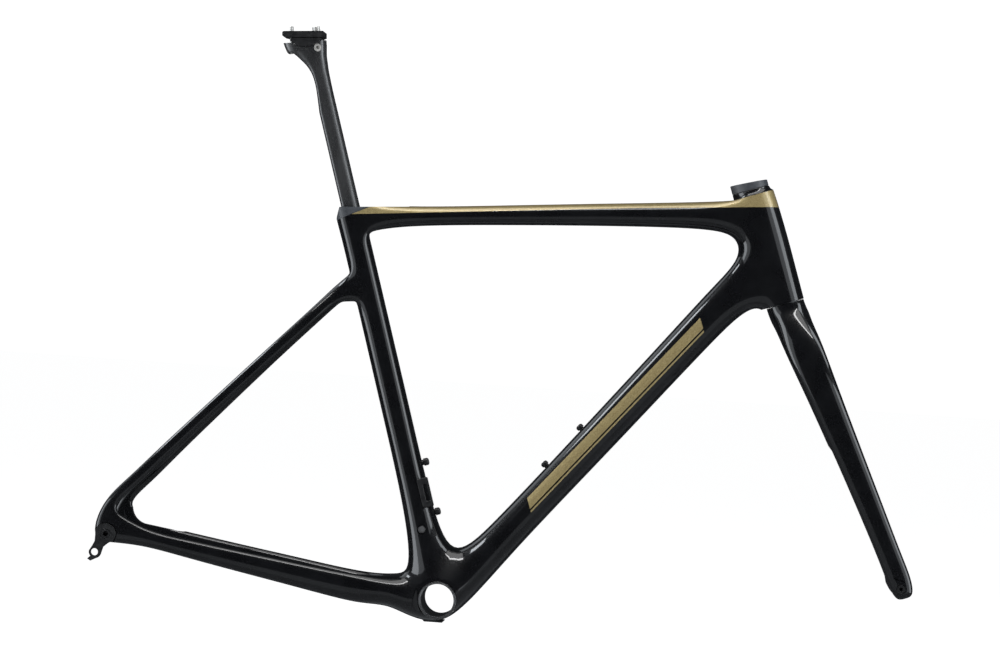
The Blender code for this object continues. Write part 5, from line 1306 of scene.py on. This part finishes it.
def clamp_bolts():
    """The front bolt with its barrel nut, and the rear bolt."""
    front = along_line(FRONT_BOLT)
    across = cross_line(FRONT_BOLT.start)
    barrel = rod("barrel_nut", across, -BARREL_HALF_LENGTH, BARREL_HALF_LENGTH, BARREL_RADIUS)
    socket = key(across, -FAR, BARREL_KEY_FLOOR, BARREL_KEY_RADIUS)
    cut(barrel, [drill(front, -FAR, FAR, CLAMP_BOLT_RADIUS + CLEARANCE), socket])
    span = (CLAMP_BOLT_INSET - BARREL_RADIUS, NUT_SPAN[1] - CLAMP_BOLT_INSET)
    return [
        barrel,
        rod("clamp_bolt_front", front, *span, CLAMP_BOLT_RADIUS),
        rod("clamp_bolt_rear", normal_line(CLAMP, REAR_BOLT_AT), *REAR_BOLT_SPAN, CLAMP_BOLT_RADIUS),
    ]


def bolt_slots(foot, top):
    """Slots that let the clamp tilt round both bolts, for a piece between two heights."""
    swing = max(abs(foot - TILT_ABOVE), abs(top - TILT_ABOVE)) * math.sin(TILT_LIMIT)
    room = CLAMP_BOLT_RADIUS + 2 * CLEARANCE
    lean = (FRONT_BOLT.point(FRONT_BOLT.length) - FRONT_BOLT.start).dot(CLAMP.along) / FRONT_BOLT.length
    base = (FRONT_BOLT.start - CLAMP.start).dot(CLAMP.along)
    rise = (foot + top) / 2 - (FRONT_BOLT.start - CLAMP.start).dot(CLAMP.normal)
    spread = swing + room + abs(lean) * (top - foot) / 2
    slots = []
    for middle in (base + lean * rise, REAR_BOLT_AT):
        slots.append(box(CLAMP, (middle - spread, middle + spread), (foot - FAR, top + FAR), -room, room))
    return slots


def rail_grooves():
    return [
        drill(along_line(CLAMP, RAIL_HEIGHT, across), -FAR, FAR, RAIL_RADIUS + CLEARANCE / 3)
        for across in (-RAIL_SPREAD, RAIL_SPREAD)
    ]


def saddle_clamp():
    """The cradle under the saddle's rails, the plate over them and the front nut."""
    rear, front = CRADLE_SPAN
    under = clamp_arc(CRADLE_RADIUS, rear, front)
    outline = [*under, CLAMP.point(front, CRADLE_TOP), CLAMP.point(rear, CRADLE_TOP)]
    cradle = prism("clamp_cradle", outline, -CLAMP_HALF_WIDTH, CLAMP_HALF_WIDTH)
    cut(cradle, bolt_slots(TILT_ABOVE - CRADLE_RADIUS, CRADLE_TOP) + rail_grooves())
    plate = block("clamp_plate", CLAMP, PLATE_CORNERS, -CLAMP_HALF_WIDTH, CLAMP_HALF_WIDTH)
    cut(plate, bolt_slots(PLATE_FOOT, PLATE_TOP) + rail_grooves())
    nut = rod("clamp_nut", along_line(FRONT_BOLT), *NUT_SPAN, NUT_RADIUS, NUT_BORE_RADIUS)
    return [cradle, plate, nut]


def shader_tree(name):
    """A new material, with its node tree and its shader."""
    material = bpy.data.materials.new(name)
    material.use_nodes = True
    return material, material.node_tree, material.node_tree.nodes["Principled BSDF"]


def fill(node, values):
    """Sets a shader node's inputs."""
    for socket, value in values.items():
        node.inputs[socket].default_value = value
    return node


def noise_of(tree, scale, detail, stretch):
    """A noise's value over the object, stretched along its axes."""
    place = tree.nodes.new("ShaderNodeTexCoord")
    mapping = fill(tree.nodes.new("ShaderNodeMapping"), {"Scale": stretch})
    noise = fill(tree.nodes.new("ShaderNodeTexNoise"), {"Scale": scale, "Detail": detail})
    tree.links.new(place.outputs["Object"], mapping.inputs["Vector"])
    tree.links.new(mapping.outputs["Vector"], noise.inputs["Vector"])
    return noise.outputs["Fac"]


# The part of a noise's range that most of it falls in
NOISE_RANGE = (0.3, 0.7)


def ramp_of(tree, value, low, high):
    """A colour that runs between two as a noise does."""
    ramp = tree.nodes.new("ShaderNodeValToRGB")
    for stop, place, colour in zip(ramp.color_ramp.elements, NOISE_RANGE, (low, high)):
        stop.position = place
        stop.color = (*colour, 1.0)
    tree.links.new(value, ramp.inputs["Fac"])
    return ramp.outputs["Color"]


def range_of(tree, value, low, high):
    """A number that runs between two as a noise does."""
    start, end = NOISE_RANGE
    spread = tree.nodes.new("ShaderNodeMapRange")
    fill(spread, {"From Min": start, "From Max": end, "To Min": low, "To Max": high})
    tree.links.new(value, spread.inputs["Value"])
    return spread.outputs["Result"]


def bump_of(tree, value, strength):
    bump = fill(tree.nodes.new("ShaderNodeBump"), {"Strength": strength, "Distance": BUMP_DEPTH})
    tree.links.new(value, bump.inputs["Height"])
    return bump.outputs["Normal"]


EVEN = (1, 1, 1)
# A finish's two colours, the range of its roughness, its mottle's and grain's scale, its grain's depth, its
# metal, lacquer and gloss, and how its noises are stretched
Finish = namedtuple(
    "Finish",
    "low high rough mottle grain bump metallic coat specular stretch",
    defaults=(0.0, 0.0, 0.5, EVEN),
)
FINISHES = {
    "gloss_carbon": Finish(
        (0.0018, 0.0019, 0.0024), (0.0036, 0.0038, 0.0046), (0.24, 0.32), 30, 500, 0.003, 0.0, 1.0, 0.15
    ),
    "gold_paint": Finish(
        (0.235, 0.180, 0.075), (0.450, 0.360, 0.175), (0.32, 0.46), 900, 2400, 0.030, 0.50, 1.0
    ),
    "satin_carbon": Finish(
        (0.0160, 0.0163, 0.0172), (0.0260, 0.0265, 0.0276), (0.24, 0.30), 60, 900, 0.030,
        specular=1.0, stretch=(1, 1, 0.15),
    ),
    "cover_plastic": Finish(
        (0.0300, 0.0335, 0.0390), (0.0450, 0.0495, 0.0565), (0.34, 0.46), 90, 1800, 0.060, specular=0.6
    ),
    "black_alloy": Finish(
        (0.0065, 0.0068, 0.0075), (0.0140, 0.0144, 0.0155), (0.34, 0.48), 150, 2600, 0.050, 0.20
    ),
    "dark_alloy": Finish(
        (0.060, 0.061, 0.063), (0.100, 0.102, 0.104), (0.24, 0.34), 200, 1600, 0.050, 0.70,
        stretch=(0.2, 1, 0.2),
    ),
    "bearing_steel": Finish((0.36, 0.36, 0.37), (0.50, 0.50, 0.51), (0.20, 0.36), 220, 1500, 0.040, 1.0),
    "bright_steel": Finish(
        (0.56, 0.55, 0.53), (0.78, 0.77, 0.74), (0.30, 0.44), 260, 1500, 0.050, 0.55,
        stretch=(1, 1, 0.2),
    ),
    "grey_rubber": Finish(
        (0.085, 0.087, 0.091), (0.130, 0.133, 0.138), (0.55, 0.72), 300, 2200, 0.120, specular=0.4
    ),
}
BUMP_DEPTH = 0.0002
COAT_ROUGHNESS = 0.04
MOTTLE_DETAIL = 4.0
GRAIN_DETAIL = 2.0


def make_finish(name, finish):
    """A mottled colour, an uneven gloss and a fine grain, under clear lacquer where it has one."""
    material, tree, shader = shader_tree(name)
    mottle = noise_of(tree, finish.mottle, MOTTLE_DETAIL, finish.stretch)
    grain = noise_of(tree, finish.grain, GRAIN_DETAIL, finish.stretch)
    tree.links.new(ramp_of(tree, mottle, finish.low, finish.high), shader.inputs["Base Color"])
    tree.links.new(range_of(tree, mottle, *finish.rough), shader.inputs["Roughness"])
    tree.links.new(bump_of(tree, grain, finish.bump), shader.inputs["Normal"])
    fill(shader, {"Metallic": finish.metallic, "Specular IOR Level": finish.specular})
    fill(shader, {"Coat Weight": finish.coat, "Coat Roughness": COAT_ROUGHNESS})
    return material


MATERIALS = {name: make_finish(name, finish) for name, finish in FINISHES.items()}


def soften(piece, width):
    """Rounds a piece's sharp edges."""
    bevel = piece.modifiers.new("Edges", "BEVEL")
    bevel.width = width
    bevel.segments = 2
    bevel.limit_method = "ANGLE"
    bevel.angle_limit = SMOOTH_ANGLE
    bevel.harden_normals = True


def dress(piece, finish, body, edge=0.0, nodes=()):
    """Rounds and shades a piece, and lets it stand for its nodes, or for the one it is named after."""
    if edge:
        soften(piece, edge)
    if not nodes:
        nodes = [piece.name.split(".")[0]]
        piece.name = nodes[0] + "_skin"
    piece.data.materials.append(MATERIALS[finish])
    piece.data.shade_smooth()
    piece.data.set_sharp_from_angle(angle=SMOOTH_ANGLE)
    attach(piece, body)
    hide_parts(*nodes)


# How far edges are rounded
FINE_EDGE = 0.0002
BOLT_EDGE = 0.0003
TURNED_EDGE = 0.0004
FORGED_EDGE = 0.0005
MOULDED_EDGE = 0.0006
PLATE_EDGE = 0.0007
MOUNT_EDGE = 0.0016


def dress_frame():
    """The moulded shell with its paint, the cover, and everything fixed to the frame."""
    shell, cover = frame_shell()
    paint(shell)
    sections = ["head_tube", "top_tube", "down_tube", "seat_tube", "bottom_bracket_junction"]
    for side in ("left", "right"):
        sections += ["chainstay_" + side, "seatstay_" + side, "rear_dropout_" + side]
    dress(shell, "gloss_carbon", "frame", nodes=sections)
    shell.data.materials.append(MATERIALS["gold_paint"])
    dress(cover, "cover_plastic", "frame", nodes=["seat_clamp_cover"])
    ring, guide, screw = bottom_bracket_pieces()
    dress(ring, "dark_alloy", "frame", TURNED_EDGE)
    dress(guide, "black_alloy", "frame", MOULDED_EDGE)
    dress(screw, "dark_alloy", "frame", FINE_EDGE)
    dress(hanger(), "black_alloy", "frame", FORGED_EDGE)
    for bolt in bottle_bolts():
        dress(bolt, "black_alloy", "frame", BOLT_EDGE)
    mount, plug = seat_tube_fittings()
    dress(mount, "black_alloy", "frame", MOUNT_EDGE)
    dress(plug, "grey_rubber", "frame", TURNED_EDGE)
    for piece in brake_sleeves():
        dress(piece, "dark_alloy", "frame", BOLT_EDGE)


def dress_fork():
    """The moulded fork, the headset's top, what is inside the steerer, and the brake's inserts."""
    sections = ["fork_crown"]
    for side in ("left", "right"):
        sections += ["fork_blade_" + side, "front_dropout_" + side]
    dress(fork_shell(), "gloss_carbon", "fork", nodes=sections)
    steerer, race, expander, screw = steerer_pieces()
    dress(steerer, "satin_carbon", "fork")
    dress(race, "dark_alloy", "fork")
    dress(expander, "dark_alloy", "fork", BOLT_EDGE)
    dress(screw, "black_alloy", "fork", BOLT_EDGE)
    ring, cover, spacer = headset_top()
    dress(ring, "dark_alloy", "fork")
    dress(cover, "gloss_carbon", "fork", FORGED_EDGE)
    dress(spacer, "cover_plastic", "fork", MOULDED_EDGE)
    for piece in brake_inserts():
        dress(piece, "dark_alloy", "fork", BOLT_EDGE)


def dress_axles():
    front = thru_axle("front_thru_axle", FRONT_LINE, FRONT_AXLE_END, FRONT_AXLE_SEAT, FRONT_AXLE_KEY_RADIUS)
    dress(front, "black_alloy", "front_axle", FINE_EDGE)
    rear = thru_axle("rear_thru_axle", REAR_LINE, REAR_AXLE_END, REAR_AXLE_SEAT, REAR_AXLE_KEY_RADIUS)
    dress(rear, "black_alloy", "rear_axle", FINE_EDGE)


def dress_saddle_end():
    """The seatpost with its bolts, and the clamp for the saddle's rails."""
    dress(seatpost(), "satin_carbon", "seatpost", TURNED_EDGE)
    for bolt in clamp_bolts():
        dress(bolt, "bright_steel", "seatpost", BOLT_EDGE)
    cradle, plate, nut = saddle_clamp()
    dress(cradle, "black_alloy", "saddle_clamp", FORGED_EDGE)
    dress(plate, "black_alloy", "saddle_clamp", PLATE_EDGE)
    dress(nut, "bright_steel", "saddle_clamp", TURNED_EDGE)


def dress_hidden():
    """The inner nodes, whose shape stays."""
    for name, finish in (
        ("lower_bearing", "bearing_steel"),
        ("upper_bearing", "bearing_steel"),
        ("seat_wedge_lower", "dark_alloy"),
        ("seat_wedge_upper", "dark_alloy"),
        ("seat_wedge_bolt", "black_alloy"),
    ):
        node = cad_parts[name]
        node.data.materials.clear()
        node.data.materials.append(MATERIALS[finish])


# The camera looks at the right side from a distance, from a little ahead, and a little rolled
CAMERA_AT = Vector((0.3100, -5.394, 0.3489))
CAMERA_TARGET = Vector((0.0529, 0.0, 0.3489))
CAMERA_ROLL = math.radians(3.93)
CAMERA_LENS = 154.40
SENSOR_WIDTH = 36.0
# The floor lies where the tyres would stand
FLOOR_DROP = 0.340
FLOOR_SIZE = 40.0
FLOOR_GLOW = 0.97
BACKDROP_RADIUS = 60.0
BACKDROP_GLOW = 1.0
PAPER_LOW = (0.86, 0.86, 0.86)
PAPER_HIGH = (0.90, 0.90, 0.90)
PAPER_MOTTLE = 3.0
PAPER_ROUGHNESS = 0.9
ROOM_COLOUR = (0.85, 0.92, 1.0, 1.0)
ROOM_STRENGTH = 0.03
# Softboxes: place, the point that it faces, size, power and tint
MIDDLE = (0.1, 0.0, 0.35)
WHITE = (1.0, 1.0, 1.0)
COOL = (0.90, 0.95, 1.0)
SOFTBOXES = {
    "Overhead": ((0.1, -0.35, 2.5), MIDDLE, (3.0, 1.3), 28.0, WHITE),
    "Edge line": ((0.1, -1.1, 2.35), MIDDLE, (3.0, 0.15), 22.0, WHITE),
    "Left strip": ((-2.6, -1.1, 0.5), MIDDLE, (1.2, 2.2), 33.0, COOL),
    "Right strip": ((2.8, -1.1, 0.5), MIDDLE, (1.2, 2.2), 33.0, COOL),
    "Left wash": ((-2.1, -2.1, 0.5), MIDDLE, (1.0, 2.2), 7.0, COOL),
    "Right wash": ((2.3, -2.1, 0.5), MIDDLE, (1.0, 2.2), 7.0, COOL),
    "Left line": ((-1.9, -0.3, 2.0), MIDDLE, (0.9, 0.35), 10.0, COOL),
    "Left back": ((-1.7, 0.9, 1.9), MIDDLE, (2.0, 1.6), 10.0, COOL),
    "Right top": ((2.1, -0.3, 2.0), MIDDLE, (0.9, 1.1), 12.0, COOL),
    "Under bounce": ((0.1, 0.0, -0.27), (0.1, 0.05, 0.3), (2.6, 0.9), 1.3, COOL),
    "Front bounce": ((0.1, -1.2, -0.27), (0.1, -1.15, 0.3), (2.8, 1.2), 3.2, COOL),
}


def add_camera():
    camera = bpy.data.objects.new("Camera", bpy.data.cameras.new("Camera"))
    bpy.context.scene.collection.objects.link(camera)
    camera.data.lens = CAMERA_LENS
    camera.data.sensor_width = SENSOR_WIDTH
    turn = (CAMERA_TARGET - CAMERA_AT).to_track_quat("-Z", "Y") @ Quaternion((0.0, 0.0, 1.0), CAMERA_ROLL)
    camera.matrix_world = Matrix.Translation(CAMERA_AT) @ turn.to_matrix().to_4x4()
    bpy.context.scene.camera = camera


def softbox(name, place, target, size, power, tint):
    """A rectangular light that faces a point."""
    light = bpy.data.lights.new(name, "AREA")
    light.shape = "RECTANGLE"
    light.size, light.size_y = size
    light.energy = power
    light.color = tint
    lamp = bpy.data.objects.new(name, light)
    lamp.location = place
    lamp.visible_camera = False
    lamp.rotation_euler = (Vector(target) - Vector(place)).to_track_quat("-Z", "Y").to_euler()
    bpy.context.scene.collection.objects.link(lamp)


def paper_sheet(name, shape, glow):
    """A sheet of pale paper with a faint mottle, which gives off a little light."""
    material, tree, shader = shader_tree(name + "_paper")
    mottle = noise_of(tree, PAPER_MOTTLE, MOTTLE_DETAIL, EVEN)
    tree.links.new(ramp_of(tree, mottle, PAPER_LOW, PAPER_HIGH), shader.inputs["Base Color"])
    fill(shader, {"Roughness": PAPER_ROUGHNESS, "Specular IOR Level": 0.0})
    fill(shader, {"Emission Color": (*WHITE, 1.0), "Emission Strength": glow})
    sheet = body_from(name, shape)
    sheet.data.materials.append(material)
    sheet.visible_glossy = False
    return sheet


def add_studio():
    """A pale floor and backdrop, a dim room and softboxes."""
    shape = bmesh.new()
    bmesh.ops.create_grid(shape, x_segments=8, y_segments=8, size=FLOOR_SIZE)
    floor = paper_sheet("floor", shape, FLOOR_GLOW)
    floor.location.z = REAR_AXLE.y - FLOOR_DROP
    shape = bmesh.new()
    bmesh.ops.create_uvsphere(shape, u_segments=48, v_segments=24, radius=BACKDROP_RADIUS)
    bmesh.ops.reverse_faces(shape, faces=shape.faces)
    backdrop = paper_sheet("backdrop", shape, BACKDROP_GLOW)
    backdrop.visible_diffuse = False
    backdrop.visible_shadow = False
    world = bpy.data.worlds.new("Studio")
    bpy.context.scene.world = world
    world.use_nodes = True
    fill(world.node_tree.nodes["Background"], {"Color": ROOM_COLOUR, "Strength": ROOM_STRENGTH})
    for name, settings in SOFTBOXES.items():
        softbox(name, *settings)


dress_frame()
dress_fork()
dress_axles()
dress_saddle_end()
dress_hidden()
add_camera()
add_studio()
bpy.context.scene.view_settings.view_transform = "Standard"
